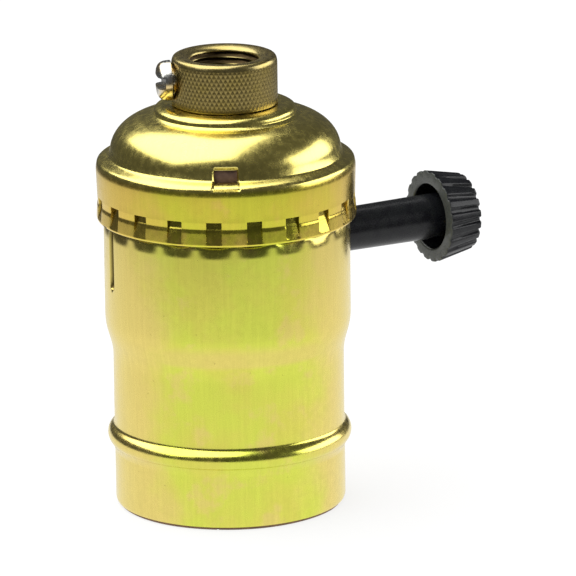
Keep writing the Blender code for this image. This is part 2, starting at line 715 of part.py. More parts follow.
def make_switch_rotor(parts, guides, axis):
    cam_top = CAM_WIDTH - DRUM_HALF
    rotor = rod("switch_rotor", DRUM_R, cam_top - CLEAR, DRUM_HALF, SMALL_FACETS, parts)
    cam = box("rotor_cam", (-CAM_FLAT, -CAM_FLAT, -DRUM_HALF), (CAM_FLAT, CAM_FLAT, cam_top), guides)
    edge = cam.modifiers.new("edge", "BEVEL")
    edge.width = CAM_EDGE * MM
    edge.segments = 1
    settle(cam)
    bore = rod("rotor_bore", SHAFT_R + CLEAR, -DRUM_HALF - OVERRUN, DRUM_HALF + OVERRUN,
               SMALL_FACETS, guides)
    for thing in (rotor, cam, bore):
        thing.parent = axis
    carve(rotor, cam, "UNION")
    carve(rotor, bore)
    return rotor


def make_bridge_contact(parts, axis):
    """A band part of the way round the drum. At rest it joins the line tongue and the centre tab."""
    mesh = bpy.data.meshes.new("bridge_contact")
    start = BAND_MIDDLE - BAND_SWEEP / 2
    steps = SMALL_FACETS
    points = []
    for step in range(steps + 1):
        angle = math.radians(start + BAND_SWEEP * step / steps)
        for side in (-1, 1):
            points.append((BAND_R * math.cos(angle) * MM, BAND_R * math.sin(angle) * MM,
                           side * BAND_WIDTH / 2 * MM))
    faces = [(2 * i, 2 * i + 2, 2 * i + 3, 2 * i + 1) for i in range(steps)]
    mesh.from_pydata(points, [], faces)
    band = link("bridge_contact", mesh, parts)
    thicken(band, BAND_WALL)
    band.parent = axis
    return band


def make_detent_spring(parts):
    """A leaf across the chamber. It lies on the cam's top flat, with its ends under the roof."""
    middle = KNOB_Z + CAM_FLAT + CLEAR + SPRING_WALL / 2
    top = CAM_FLAT + CLEAR + SPRING_WALL
    reach = math.sqrt(CHAMBER_R ** 2 - (top + CLEAR) ** 2)
    path = [(-reach, middle), (reach, middle)]
    spring = bent_strip("detent_spring", path, SPRING_WIDTH, SPRING_WALL, parts)
    spring.location = ((CAM_WIDTH / 2 - DRUM_HALF) * MM, 0.0, 0.0)
    return spring


def rib_push(angle, height):
    """Ribs round the knob's head: two points of each three stand, and the third is a valley."""
    if not KNOB_BACK + KNOB_EDGE / 2 <= height <= KNOB_FRONT - KNOB_EDGE / 2:
        return 0.0
    step = round(angle / (360.0 / KNOB_FACETS)) % 3
    return -RIB_DEPTH if step == 0 else 0.0


def make_knob(parts, guides, axis):
    """One moulding: a cupped head with ribs, open towards the socket, on a tapered stem."""
    rim_r = KNOB_BACK_R - RIB_DEPTH
    nose_r = KNOB_FRONT_R - RIB_DEPTH
    outline = [(0.0, KNOB_FRONT), (nose_r, KNOB_FRONT), (KNOB_FRONT_R, KNOB_FRONT - KNOB_EDGE),
               (KNOB_BACK_R, KNOB_BACK + KNOB_EDGE), (rim_r, KNOB_BACK), (CUP_R + CUP_CHAMFER, KNOB_BACK),
               (CUP_R, KNOB_BACK + CUP_CHAMFER), (CUP_R, CUP_FLOOR), (0.0, CUP_FLOOR)]
    knob = turned("knob", outline, KNOB_FACETS, parts)
    press(knob, rib_push, beyond=CUP_R + CUP_CHAMFER)
    knob.parent = axis
    bore_r = SHAFT_R + CLEAR
    bore_end = KNOB_ROOT + SHAFT_IN_KNOB + CLEAR
    stem_end = CUP_FLOOR + KNOB_FACE_WALL / 2
    stem = turned("knob_stem", [(0.0, stem_end), (STEM_END_R, stem_end), (STEM_END_R, KNOB_BACK),
                                (STEM_ROOT_R, KNOB_ROOT), (bore_r, KNOB_ROOT), (bore_r, bore_end),
                                (0.0, bore_end)], SMALL_FACETS, guides)
    stem.parent = axis
    carve(knob, stem, "UNION")
    return knob


def build():
    clear_scene()
    parts = new_collection("turn_knob_lamp_socket")
    guides = new_collection("guides")

    plated = new_material("plated_brass", (0.62, 0.58, 0.14), 0.22, 1.0)
    turned_brass = new_material("turned_brass", (0.38, 0.29, 0.10), 0.38, 1.0)
    zinc = new_material("zinc_plate", (0.60, 0.55, 0.42), 0.30, 1.0)
    steel = new_material("steel", (0.52, 0.52, 0.53), 0.35, 1.0)
    copper = new_material("copper_alloy", (0.72, 0.43, 0.20), 0.32, 1.0)
    aluminium = new_material("aluminium", (0.77, 0.77, 0.76), 0.34, 1.0)
    board = new_material("liner_board", (0.16, 0.12, 0.09), 0.85, 0.0)
    fibre = new_material("fibre", (0.03, 0.025, 0.022), 0.70, 0.0)
    moulding = new_material("brown_moulding", (0.07, 0.03, 0.018), 0.40, 0.0)
    black = new_material("black_plastic", (0.018, 0.019, 0.020), 0.42, 0.0)

    axis = bpy.data.objects.new("knob_axis", None)
    parts.objects.link(axis)
    aim(axis, 0.0, KNOB_Z)
    bpy.context.view_layer.update()

    made = [
        (make_cap(parts, guides), plated),
        (make_outer_shell(parts, guides), plated),
        (make_bushing(parts, guides), turned_brass),
        (make_set_screw(parts, guides), zinc),
        (make_shell_liner(parts, guides), board),
        (make_cap_liner(parts), fibre),
        (make_screw_shell(parts, guides), aluminium),
        (make_lower_body(parts, guides), moulding),
        (make_upper_body(parts, guides), moulding),
        (make_centre_contact(parts), copper),
        (make_hot_terminal(parts, guides), copper),
        (make_neutral_terminal(parts, guides), aluminium),
        (make_terminal_screw("hot_terminal_screw", 1, parts, guides), turned_brass),
        (make_terminal_screw("neutral_terminal_screw", -1, parts, guides), steel),
        (make_body_rivet("body_rivet_front", RIVET_ANGLE + 180.0, parts), aluminium),
        (make_body_rivet("body_rivet_back", RIVET_ANGLE, parts), aluminium),
        (make_drive_shaft(parts, axis), steel),
        (make_switch_rotor(parts, guides, axis), fibre),
        (make_bridge_contact(parts, axis), copper),
        (make_detent_spring(parts), steel),
        (make_knob(parts, guides, axis), black),
    ]
    for thing, material in made:
        thing.data.materials.clear()
        thing.data.materials.append(material)
        round_off(thing)


build()
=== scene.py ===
# %% [markdown]
# # Turn knob lamp socket
#
# This lesson dresses a lamp socket whose solids are already made: a plated cap and shell, a knurled
# bushing with its set screw, a black turn knob, and the switch inside. Nothing is moved or resized here.
# We remake the pieces that show as finer meshes in the same place, and give every piece a finish.
#
# The frame holds the solids, the bodies that they move with, and the record. We load it first. The
# finished model has to stay inside it.

# %% Load the frame
import json
import math

import bmesh
import bpy
import numpy as np
from mathutils import Matrix, Vector


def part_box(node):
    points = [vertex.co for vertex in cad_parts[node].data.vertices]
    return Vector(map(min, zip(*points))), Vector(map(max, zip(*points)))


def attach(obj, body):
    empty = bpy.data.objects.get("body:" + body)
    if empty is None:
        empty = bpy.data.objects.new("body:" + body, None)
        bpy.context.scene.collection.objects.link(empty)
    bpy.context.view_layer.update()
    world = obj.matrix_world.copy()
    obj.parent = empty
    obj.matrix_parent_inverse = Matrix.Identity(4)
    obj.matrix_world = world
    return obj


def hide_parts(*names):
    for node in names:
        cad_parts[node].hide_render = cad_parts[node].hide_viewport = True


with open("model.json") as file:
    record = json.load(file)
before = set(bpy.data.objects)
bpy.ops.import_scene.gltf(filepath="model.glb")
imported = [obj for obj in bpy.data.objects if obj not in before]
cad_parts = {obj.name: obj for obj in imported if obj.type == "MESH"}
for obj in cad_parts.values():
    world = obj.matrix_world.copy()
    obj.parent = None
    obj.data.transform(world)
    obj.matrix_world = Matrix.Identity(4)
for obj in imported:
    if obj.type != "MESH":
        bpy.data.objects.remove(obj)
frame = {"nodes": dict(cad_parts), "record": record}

for leftover in ("Cube", "Light", "Camera"):
    if leftover in bpy.data.objects:
        bpy.data.objects.remove(bpy.data.objects[leftover])
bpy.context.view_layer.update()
MM = 0.001


# %% [markdown]
# ## Places
#
# A designer would ask: what does each piece sit against? The heights come from the boxes of the solids, so
# that a new frame would carry them along. The radii are the sizes of the drawn parts, in millimetres, as
# on a drawing.

# %% Heights from the frame, and the radii of the drawn parts


def low_of(node):
    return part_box(node)[0].z / MM


def high_of(node):
    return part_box(node)[1].z / MM


RIM_Z = low_of("outer_shell")
SHELL_TOP_Z = high_of("outer_shell")
SKIRT_Z = low_of("cap")
CROWN_Z = high_of("cap")
MOUTH_FALL = 0.06
BUSHING_TOP_Z = high_of("bushing") - MOUTH_FALL
BUSHING_END_Z = low_of("bushing")
KNOB_Z = (low_of("knob") + high_of("knob")) / 2
KNOB_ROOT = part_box("knob")[0].x / MM
KNOB_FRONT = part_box("knob")[1].x / MM
WALL = 0.4
SHELL_UPPER_R = 17.25
SHELL_LOWER_R = 16.2
SHELL_NECK_R = 16.95
SKIRT_R = 18.17
DOME_R = 16.2
BUSHING_R = 7.4
FLANGE_Z = SKIRT_Z + 8.05
print("rim", round(RIM_Z, 2), "skirt", round(SKIRT_Z, 2))
print("flange", round(FLANGE_Z, 2), "crown", round(CROWN_Z, 2))

# %% [markdown]
# ## Camera
#
# The photograph looks down by about fifteen degrees, from a place to the left of the knob's axis, through
# a long lens. The width of the ellipses gives the angle, and the knob's foreshortened stem gives the
# direction. We turn the camera by three quarters of a degree about its own axis, because the socket leans
# by that much in the picture.

# %% The camera, and where three known points fall
CAMERA_AZIMUTH = -29.0
CAMERA_ELEVATION = 15.4
CAMERA_DISTANCE = 1050.0
PIXELS_PER_MM = 7.126
CAMERA_ROLL = -0.75
PICTURE = 576
AIM_UP = 4.55
AIM_RIGHT = 8.46
SENSOR = 36.0

turn, rise = math.radians(CAMERA_AZIMUTH), math.radians(CAMERA_ELEVATION)
to_camera = Vector((math.sin(turn) * math.cos(rise), -math.cos(turn) * math.cos(rise), math.sin(rise)))
to_right = Vector((math.cos(turn), math.sin(turn), 0.0))
aim = Vector((0.0, 0.0, AIM_UP * MM)) + to_right * AIM_RIGHT * MM
lens = bpy.data.cameras.new("camera")
lens.lens = PIXELS_PER_MM * CAMERA_DISTANCE * SENSOR / PICTURE
lens.sensor_width = SENSOR
lens.clip_start = 0.01
lens.clip_end = 50.0
camera = bpy.data.objects.new("camera", lens)
bpy.context.scene.collection.objects.link(camera)
facing = to_camera.to_track_quat("Z", "Y").to_matrix().to_4x4()
camera.matrix_world = (Matrix.Translation(aim + to_camera * CAMERA_DISTANCE * MM) @ facing
                       @ Matrix.Rotation(math.radians(CAMERA_ROLL), 4, "Z"))
bpy.context.scene.camera = camera
bpy.context.scene.view_settings.view_transform = "Standard"


def pixel_of(x, y, z):
    """Where a point given in millimetres falls in the picture."""
    seen = camera.matrix_world.inverted() @ Vector((x * MM, y * MM, z * MM))
    scale = lens.lens / SENSOR * PICTURE / -seen.z
    return round(PICTURE / 2 + seen.x * scale, 1), round(PICTURE / 2 - seen.y * scale, 1)


known_points = {"centre of the bushing's top": (0, 0, BUSHING_TOP_Z), "centre of the rim": (0, 0, RIM_Z),
                "centre of the knob's front": (KNOB_FRONT, 0, KNOB_Z)}
for label, point in known_points.items():
    print(label, pixel_of(*point))

# %% [markdown]
# ## Studio
#
# Bright metal shows its surroundings, so the studio is half of the finish. The photographer stood the
# socket on a white table in a dim room, with one wide softbox high on the left and a smaller one low on
# the right. The table gives the walls their clean colour, the dim room gives the dark band that runs along
# each bead and corner, and the softboxes give the pale patches on the dome. The picture itself has a pure
# white ground, so whatever the camera sees past the table is white, and the table is mostly its own white
# and keeps only a faint shadow. In the metal the table glows, as painted light: it is white close to the
# socket, and falls away into the dim room further out.

# %% Helpers for node trees


def put(tree, kind, inputs=None, **settings):
    """Add a node. Each input is a value to set or another node's socket to join."""
    node = tree.nodes.new(kind)
    for key, value in settings.items():
        setattr(node, key, value)
    for key, value in (inputs or {}).items():
        if isinstance(value, bpy.types.NodeSocket):
            tree.links.new(value, node.inputs[key])
        else:
            node.inputs[key].default_value = value
    return node


def sums(tree, operation, *values):
    """One Math node on numbers or sockets."""
    return put(tree, "ShaderNodeMath", dict(enumerate(values)), operation=operation).outputs[0]


def product(tree, *values):
    """All the values multiplied. Masks multiplied leave only what lies in every one of them."""
    result = values[0]
    for value in values[1:]:
        result = sums(tree, "MULTIPLY", result, value)
    return result


def blend(tree, share, first, second):
    """A number between two others."""
    return put(tree, "ShaderNodeMix", {0: share, 2: first, 3: second}).outputs[0]


def between(tree, value, start, end, low=0.0, high=1.0):
    """A soft step from low to high as the value goes from start to end."""
    ends = {"Value": value, "From Min": start, "From Max": end, "To Min": low, "To Max": high}
    return put(tree, "ShaderNodeMapRange", ends, interpolation_type="SMOOTHSTEP").outputs[0]


def times(tree, vector, factors):
    """A vector or a colour, with each of its parts multiplied by a factor of its own."""
    return put(tree, "ShaderNodeVectorMath", {0: vector, 1: factors}, operation="MULTIPLY").outputs[0]


def length_of(tree, vector):
    return put(tree, "ShaderNodeVectorMath", {0: vector}, operation="LENGTH").outputs["Value"]


def white_to_camera(tree):
    """1 for what the camera sees directly or through glass, and 0 for light that falls on things."""
    path = put(tree, "ShaderNodeLightPath")
    return sums(tree, "MAXIMUM", path.outputs["Is Camera Ray"], path.outputs["Is Transmission Ray"]), path


# %% The room
ROOM_GLOSS = 0.08
ROOM_FILL = 0.3

world = bpy.data.worlds.new("studio")
bpy.context.scene.world = world
world.use_nodes = True
tree = world.node_tree
seen, path = white_to_camera(tree)
fill = blend(tree, path.outputs["Is Glossy Ray"], ROOM_FILL, ROOM_GLOSS)
strength = blend(tree, seen, fill, 1.0)
tree.links.new(strength, tree.nodes["Background"].inputs["Strength"])
tree.nodes["Background"].inputs["Color"].default_value = (1.0, 1.0, 1.0, 1.0)

# %% The white table
TABLE_SIZE = 8.0
TABLE_WHITE = 0.9
TABLE_OWN = 0.8
TABLE_LIT = 0.12
TABLE_DARK = 0.30
TABLE_GAP = 0.02

table_z = low_of("shell_liner") - TABLE_GAP
bpy.ops.mesh.primitive_plane_add(size=TABLE_SIZE, location=(0.0, 0.0, table_z * MM))
table = bpy.context.object
table.name = "white_table"
white = bpy.data.materials.new("white_table")
white.use_nodes = True
tree = white.node_tree
seen, path = white_to_camera(tree)
glossy = path.outputs["Is Glossy Ray"]
away = length_of(tree, put(tree, "ShaderNodeTexCoord").outputs["Object"])
# Painted light: to glossy rays the table glows, white near the socket and falling to the dim room's level
# further out.
glow_strength = blend(tree, glossy, 1.0, between(tree, away, TABLE_LIT, TABLE_DARK, 1.0, ROOM_GLOSS))
matt = put(tree, "ShaderNodeBsdfDiffuse", {"Color": (TABLE_WHITE, TABLE_WHITE, TABLE_WHITE, 1.0)})
own = put(tree, "ShaderNodeEmission", {"Color": (1.0, 1.0, 1.0, 1.0), "Strength": glow_strength})
share = sums(tree, "MAXIMUM", product(tree, seen, TABLE_OWN), glossy)
both = put(tree, "ShaderNodeMixShader", {0: share, 1: matt.outputs[0], 2: own.outputs[0]})
tree.links.new(both.outputs[0], tree.nodes["Material Output"].inputs["Surface"])
table.data.materials.append(white)

# %% The softboxes


def softbox(name, azimuth, elevation, distance, width, height, watts):
    """An area light that faces the socket. The azimuth is counted from the camera, to its right."""
    light = bpy.data.lights.new(name, "AREA")
    light.shape = "RECTANGLE"
    light.size, light.size_y = width, height
    light.energy = watts
    thing = bpy.data.objects.new(name, light)
    bpy.context.scene.collection.objects.link(thing)
    side, up = math.radians(CAMERA_AZIMUTH + azimuth), math.radians(elevation)
    away = Vector((math.sin(side) * math.cos(up), -math.cos(side) * math.cos(up), math.sin(up)))
    thing.location = away * distance
    thing.rotation_mode = "QUATERNION"
    thing.rotation_quaternion = away.to_track_quat("Z", "Y")
    thing.visible_camera = False
    print(name, "radiance", round(watts / (math.pi * width * height), 2))


softbox("left_softbox", azimuth=-95.0, elevation=66.0, distance=1.2, width=2.2, height=1.75, watts=32.0)
softbox("right_softbox", azimuth=100.0, elevation=17.0, distance=1.2, width=1.3, height=0.65, watts=8.0)

# %% [markdown]
# ## Turned forms
#
# Nearly every piece here was drawn, rolled or turned, so one tool makes them all: an outline in radius and
# height, spun round the axis. Blender's Screw modifier does the same, but here the angles and rows are
# ours to choose, so that they can be close together where a pocket or a thread needs them. A push then
# moves each point in or out, as a press or a knurling wheel does. A sheet is one closed outline, which
# goes down its outer side and up its inner.

# %% Outlines


def rounded(corners, steps=5):
    """An outline from corners of radius, height and how far the rounding reaches along both sides."""
    points = []
    for index, corner in enumerate(corners):
        here = np.array(corner[:2], float)
        reach = corner[2] if len(corner) > 2 else 0.0
        if not reach:
            points.append(here)
            continue
        before, after = (np.array(corners[index + way][:2], float) - here for way in (-1, 1))
        start = here + before / np.linalg.norm(before) * reach
        end = here + after / np.linalg.norm(after) * reach
        for share in np.linspace(0.0, 1.0, steps + 1):
            points.append((1 - share) ** 2 * start + 2 * share * (1 - share) * here + share ** 2 * end)
    return points


def arc(centre, radii, start, end, steps, full=1.0):
    """Points on an ellipse, from one angle in degrees to another. Below 1, full makes it squarer."""
    turns = np.radians(np.linspace(start, end, steps + 1))
    across, up = (np.sign(wave) * np.abs(wave) ** full for wave in (np.cos(turns), np.sin(turns)))
    return list(zip(centre[0] + radii[0] * across, centre[1] + radii[1] * up))


def filled(points, step):
    """Rows along an outline, a step apart. The step is a length, or a function of the height."""
    step_at = step if callable(step) else lambda height: step
    rows = [np.array(points[0][:2], float)]
    for first, last in zip(points, points[1:]):
        first, last = np.array(first[:2], float), np.array(last[:2], float)
        length, done = np.linalg.norm(last - first), 0.0
        while length - done > 1.5 * step_at(first[1] + (last[1] - first[1]) * done / max(length, 1e-9)):
            done += step_at(first[1] + (last[1] - first[1]) * done / length)
            rows.append(first + (last - first) * done / length)
        rows.append(last)
    return np.array(rows)


def ease(value, start, end):
    """0 at start, 1 at end, and a soft curve between."""
    share = np.clip((value - start) / (end - start), 0.0, 1.0)
    return share * share * (3 - 2 * share)


# %% Spinning an outline into a mesh


def spun(name, angles, *sides):
    """Turn a closed outline about Z. Each side is its rows and its push, a function of angle and height."""
    turns = np.radians(angles)[:, None]
    blocks = []
    for rows, push in sides:
        radius = np.repeat(rows[None, :, 0], len(angles), 0)
        if push is not None:
            radius = radius + push(np.asarray(angles)[:, None], rows[None, :, 1])
        blocks.append(np.stack([radius * np.cos(turns), radius * np.sin(turns),
                                np.repeat(rows[None, :, 1], len(angles), 0)], -1))
    points = np.concatenate(blocks, 1) * MM
    around, along = points.shape[:2]
    i, j = np.meshgrid(np.arange(around), np.arange(along), indexing="ij")
    after, below = (i + 1) % around, (j + 1) % along
    quads = np.stack([i * along + j, i * along + below, after * along + below, after * along + j], -1)
    mesh = bpy.data.meshes.new(name)
    mesh.from_pydata(points.reshape(-1, 3), [], quads.reshape(-1, 4).tolist())
    if min(np.min(rows[:, 0]) for rows, _ in sides) < 1e-6:
        work = bmesh.new()
        work.from_mesh(mesh)
        bmesh.ops.remove_doubles(work, verts=work.verts, dist=0.002 * MM)
        work.to_mesh(mesh)
        work.free()
    thing = bpy.data.objects.new(name, mesh)
    bpy.context.scene.collection.objects.link(thing)
    return thing


def even(count, first=0.0):
    return first + np.arange(count) * 360.0 / count


def turned(thing, angle):
    """Turn a mesh about the socket's axis."""
    thing.data.transform(Matrix.Rotation(math.radians(angle), 4, "Z"))
    return thing


def lay(thing, angle, height):
    """Lay a mesh that was made about Z on its side, at an angle and a height of the socket."""
    level = Matrix.Rotation(math.radians(90.0), 4, "Y")
    around = Matrix.Rotation(math.radians(angle), 4, "Z")
    thing.data.transform(Matrix.Translation((0.0, 0.0, height * MM)) @ around @ level)
    return thing


# %% Cutting
PEG_FACETS = 48


def block(low, high):
    """A box between two corners in millimetres, to cut with."""
    mesh = bpy.data.meshes.new("block")
    work = bmesh.new()
    bmesh.ops.create_cube(work, size=1.0)
    bmesh.ops.scale(work, vec=[(b - a) * MM for a, b in zip(low, high)], verts=work.verts)
    bmesh.ops.translate(work, vec=[(a + b) / 2 * MM for a, b in zip(low, high)], verts=work.verts)
    work.to_mesh(mesh)
    work.free()
    thing = bpy.data.objects.new("block", mesh)
    bpy.context.scene.collection.objects.link(thing)
    return thing


def peg(radius, low, high):
    """A round cutter about Z."""
    outline = np.array([(0.0, high), (radius, high), (radius, low), (0.0, low)])
    return spun("peg", even(PEG_FACETS), (outline, None))


def carve(thing, *cutters):
    """Cut each cutter out of a piece, and throw the cutter away."""
    for cutter in cutters:
        step = thing.modifiers.new("cut", "BOOLEAN")
        step.object = cutter
        step.operation = "DIFFERENCE"
        step.solver = "EXACT"
        bpy.context.view_layer.update()
        graph = bpy.context.evaluated_depsgraph_get()
        mesh = bpy.data.meshes.new_from_object(thing.evaluated_get(graph))
        thing.modifiers.clear()
        thing.data = mesh
        bpy.data.objects.remove(cutter, do_unlink=True)
    return thing


# %% Putting a piece in its node's place
SLOTS = {part["node"]: part["material_slot"] for part in frame["record"]["subparts"]}
BODIES = {node: body for body, nodes in frame["record"]["behaviour"]["bodies"].items() for node in nodes}
OWN_LOOKS = {"bushing": "knurled_brass"}
finishes = {}


def dress(thing, node):
    """Give a piece the finish of its slot, or the look that its node has for itself."""
    thing.data.materials.clear()
    thing.data.materials.append(finishes[OWN_LOOKS.get(node, SLOTS[node])])


def stand_in(thing, node, sharp=32.0):
    """Let a piece stand for a node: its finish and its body."""
    dress(thing, node)
    thing.data.shade_smooth()
    thing.data.set_sharp_from_angle(angle=math.radians(sharp))
    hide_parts(node)
    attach(thing, BODIES[node])
    thing.data.calc_loop_triangles()
    print(thing.name, "for", node, "triangles:", len(thing.data.loop_triangles))


# %% [markdown]
# ## Finishes
#
# Each finish is a node tree in the object's own coordinates, so it stays on the metal when the knob turns
# or the camera moves. These helpers read a place in millimetres, make noise at a real scale, and add bump
# of a real depth. A finish is kept under the name of its slot. Only the bushing has a look of its own.

# %% Helpers for finishes


def place_in_mm(tree):
    """Where a point is on its piece, in millimetres."""
    return times(tree, put(tree, "ShaderNodeTexCoord").outputs["Object"], (1 / MM, 1 / MM, 1 / MM))


def new_finish(name, colour, roughness, metallic):
    """Keep a new material under its name. Gives its tree, its shader and the place in millimetres."""
    material = bpy.data.materials.new(name)
    material.use_nodes = True
    tree = material.node_tree
    shader = tree.nodes["Principled BSDF"]
    shader.inputs["Base Color"].default_value = (*colour, 1.0)
    shader.inputs["Roughness"].default_value = roughness
    shader.inputs["Metallic"].default_value = metallic
    finishes[name] = material
    return tree, shader, place_in_mm(tree)


def grain(tree, place, per_mm, detail=3.0, rough=0.55):
    """Noise with so many waves in a millimetre."""
    return put(tree, "ShaderNodeTexNoise", {"Vector": place, "Scale": per_mm, "Detail": detail,
                                            "Roughness": rough}).outputs["Fac"]


def from_axis(tree, place):
    """How far a place is from the socket's axis."""
    return length_of(tree, times(tree, place, (1.0, 1.0, 0.0)))


def mixed(tree, share, first, second):
    """A colour between two, which may be values or sockets."""
    first, second = ((*c, 1.0) if isinstance(c, tuple) else c for c in (first, second))
    return put(tree, "ShaderNodeMix", {0: share, 6: first, 7: second}, data_type="RGBA").outputs[2]


def colour_by(tree, shader, colour):
    tree.links.new(colour, shader.inputs["Base Color"])


def rough_by(tree, shader, value):
    tree.links.new(value, shader.inputs["Roughness"])


def bumped(tree, shader, *layers):
    """Bump from pairs of a height and its depth in millimetres."""
    normal = None
    for height, depth in layers:
        inputs = {"Height": height, "Distance": depth * MM, "Strength": 1.0}
        if normal is not None:
            inputs["Normal"] = normal
        normal = put(tree, "ShaderNodeBump", inputs).outputs["Normal"]
    tree.links.new(normal, shader.inputs["Normal"])


# %% [markdown]
# ## Plated finish
#
# The cap and shell are brass-plated steel with a passivated surface. On the real piece the film isn't
# even: it shows broad patches of yellow-green, straw yellow and pinkish orange, a mottle inside them, fine
# upright draw marks, and small brown specks. A single yellow would look like gold paint. Here slow waves
# round the piece choose between three colours, and noise moves their edges, so that no two patches are the
# same. The skirt is yellower than the walls, and the dome is a plain gold. Painted shade darkens whatever
# is
# pressed in: the pockets, the dimples under them and the key groove.

# %% The plated finish
FILM_GREEN = (0.71, 0.76, 0.105)
FILM_STRAW = (0.74, 0.69, 0.12)
FILM_PEACH = (0.82, 0.655, 0.195)
FILM_GOLD = (0.82, 0.70, 0.20)
FILM_SPECK = (0.20, 0.13, 0.05)
SKIRT_TINT = (1.04, 0.93, 0.66)
FILM_PATCHES = 2
FILM_CENTRE = math.radians(CAMERA_AZIMUTH - 90.0)
FILM_START = 1.37
FILM_WANDER = 2.4
WAVE_PEACH = 0.95
SHOULDER_PEACH = 0.7
BLOTCH_PEACH = 0.7
STRAW_MOST = 0.9
SPECK_MOST = 0.6
SHOULDER_LOW_Z = RIM_Z + 22.2
SHOULDER_HIGH_Z = SHOULDER_LOW_Z + 3.6
# Painted shade for the key groove, and the groove's place and size
KEY_SHADE = (0.06, 0.035, 0.01)
KEY_ANGLE = 172.4
KEY_TOP_Z = SKIRT_Z + 0.3
KEY_LENGTH = 9.4
KEY_HALF = 0.85
# Painted shade in the pockets and the dimples under them, and the heights it reaches
HOLLOW_SHADE = (0.10, 0.085, 0.025)
HOLLOW_SHADE_MOST = 0.45
HOLLOW_LOW_Z = SKIRT_Z - 2.4
HOLLOW_TOP_Z = SKIRT_Z + 3.7
PLATE_SMOOTH = 0.2
PLATE_DULL = 0.29
EXTRA_ROUGHNESS = 0.2
STREAK_LONG = 0.05


def film_colour(tree, place, around, height):
    """The passivated film: green, straw and peach on the walls, yellower on the skirt, gold on the dome."""
    wander = product(tree, grain(tree, place, 0.08, 5.0, 0.6), FILM_WANDER)
    turns = product(tree, sums(tree, "SUBTRACT", around, FILM_CENTRE), FILM_PATCHES)
    waves = sums(tree, "COSINE", sums(tree, "SUBTRACT", sums(tree, "ADD", turns, wander), FILM_START))
    band = product(tree, between(tree, height, SHOULDER_LOW_Z + 0.3, SHOULDER_LOW_Z + 1.3),
                   between(tree, height, SHOULDER_HIGH_Z + 1.0, SHOULDER_HIGH_Z - 1.0), SHOULDER_PEACH)
    blotches = between(tree, grain(tree, place, 0.2, 4.0, 0.6), 0.52, 0.68, 0.0, BLOTCH_PEACH)
    peach = sums(tree, "MAXIMUM", between(tree, waves, 0.6, -0.45, 0.0, WAVE_PEACH), band)
    peach = sums(tree, "MAXIMUM", peach, blotches)
    straw = between(tree, grain(tree, place, 0.14, 3.0), 0.36, 0.68, 0.0, STRAW_MOST)
    film = mixed(tree, peach, mixed(tree, straw, FILM_GREEN, FILM_STRAW), FILM_PEACH)
    skirt = between(tree, height, SKIRT_Z, SKIRT_Z + 0.3)
    film = mixed(tree, skirt, film, times(tree, film, SKIRT_TINT))
    return mixed(tree, between(tree, height, FLANGE_Z - 0.6, FLANGE_Z + 0.2), film, FILM_GOLD)


def key_mask(tree, around, height):
    """Painted shade for the key groove: 1 in the groove, and 0 elsewhere."""
    away = sums(tree, "ABSOLUTE", sums(tree, "SUBTRACT", around, math.radians(KEY_ANGLE)))
    across = between(tree, product(tree, away, SHELL_UPPER_R), KEY_HALF * 0.95, KEY_HALF * 0.6)
    foot = KEY_TOP_Z - KEY_LENGTH
    return product(tree, across, between(tree, height, foot + 0.1, foot + 0.4),
                   between(tree, height, KEY_TOP_Z + 0.1, KEY_TOP_Z, 0.0, 0.9))


def hollow_shade_mask(tree, place, height):
    """How much painted shade darkens the film where the skirt, or the shell just below it, is pressed in
    from its full radius.
    """
    full = between(tree, height, SKIRT_Z - 0.1, SKIRT_Z + 0.2, SHELL_UPPER_R - 0.1, SKIRT_R - 0.25)
    depth = sums(tree, "SUBTRACT", full, from_axis(tree, place))
    return product(tree, between(tree, depth, 0.0, 0.3, 0.0, HOLLOW_SHADE_MOST),
                   between(tree, height, HOLLOW_LOW_Z, HOLLOW_LOW_Z + 0.5),
                   between(tree, height, HOLLOW_TOP_Z, HOLLOW_TOP_Z - 0.2))


def plated_brass():
    tree, shader, place = new_finish("plated_brass", FILM_STRAW, PLATE_SMOOTH, 1.0)
    split = put(tree, "ShaderNodeSeparateXYZ", {0: place})
    around = sums(tree, "ARCTAN2", split.outputs["Y"], split.outputs["X"])
    height = split.outputs["Z"]
    mottle = grain(tree, place, 1.1, 5.0, 0.6)
    upright = {"X": product(tree, around, SHELL_UPPER_R), "Z": product(tree, height, STREAK_LONG)}
    streaks = grain(tree, put(tree, "ShaderNodeCombineXYZ", upright).outputs[0], 2.2, 4.0, 0.65)
    shade = sums(tree, "ADD", between(tree, mottle, 0.3, 0.7, 0.95, 1.04),
                 between(tree, streaks, 0.3, 0.7, -0.04, 0.03))
    film = film_colour(tree, place, around, height)
    film = put(tree, "ShaderNodeVectorMath", {0: film, "Scale": shade}, operation="SCALE").outputs[0]
    speck = between(tree, grain(tree, place, 1.3, 4.0, 0.7), 0.69, 0.75)
    film = mixed(tree, product(tree, speck, SPECK_MOST), film, FILM_SPECK)
    # Painted shade: the pockets and the dimples under them are darkened towards a dark olive.
    film = mixed(tree, hollow_shade_mask(tree, place, height), film, HOLLOW_SHADE)
    # Painted shade: the key groove is darkened towards a dark brown.
    groove_shade = key_mask(tree, around, height)
    colour_by(tree, shader, mixed(tree, groove_shade, film, KEY_SHADE))
    speck_and_groove_dulling = product(tree, sums(tree, "MAXIMUM", speck, groove_shade), EXTRA_ROUGHNESS)
    gloss = between(tree, mottle, 0.3, 0.7, PLATE_SMOOTH, PLATE_DULL)
    rough_by(tree, shader, sums(tree, "ADD", gloss, speck_and_groove_dulling))
    bumped(tree, shader, (streaks, 0.001), (mottle, 0.0007), (grain(tree, place, 5.0, 2.0), 0.0007))


plated_brass()
print("plated finish:", len(finishes["plated_brass"].node_tree.nodes), "nodes")

# %% [markdown]
# ## Turned brass, zinc, steel and strip
#
# One terminal screw is brass turned on a lathe. The set screw is zinc plated and passivated, which leaves
# it silver with yellow and pink tints. The strips inside are rolled sheet, and the rivets and the screw
# shell are aluminium. All of them get the same recipe, with a tint in patches and very fine marks.

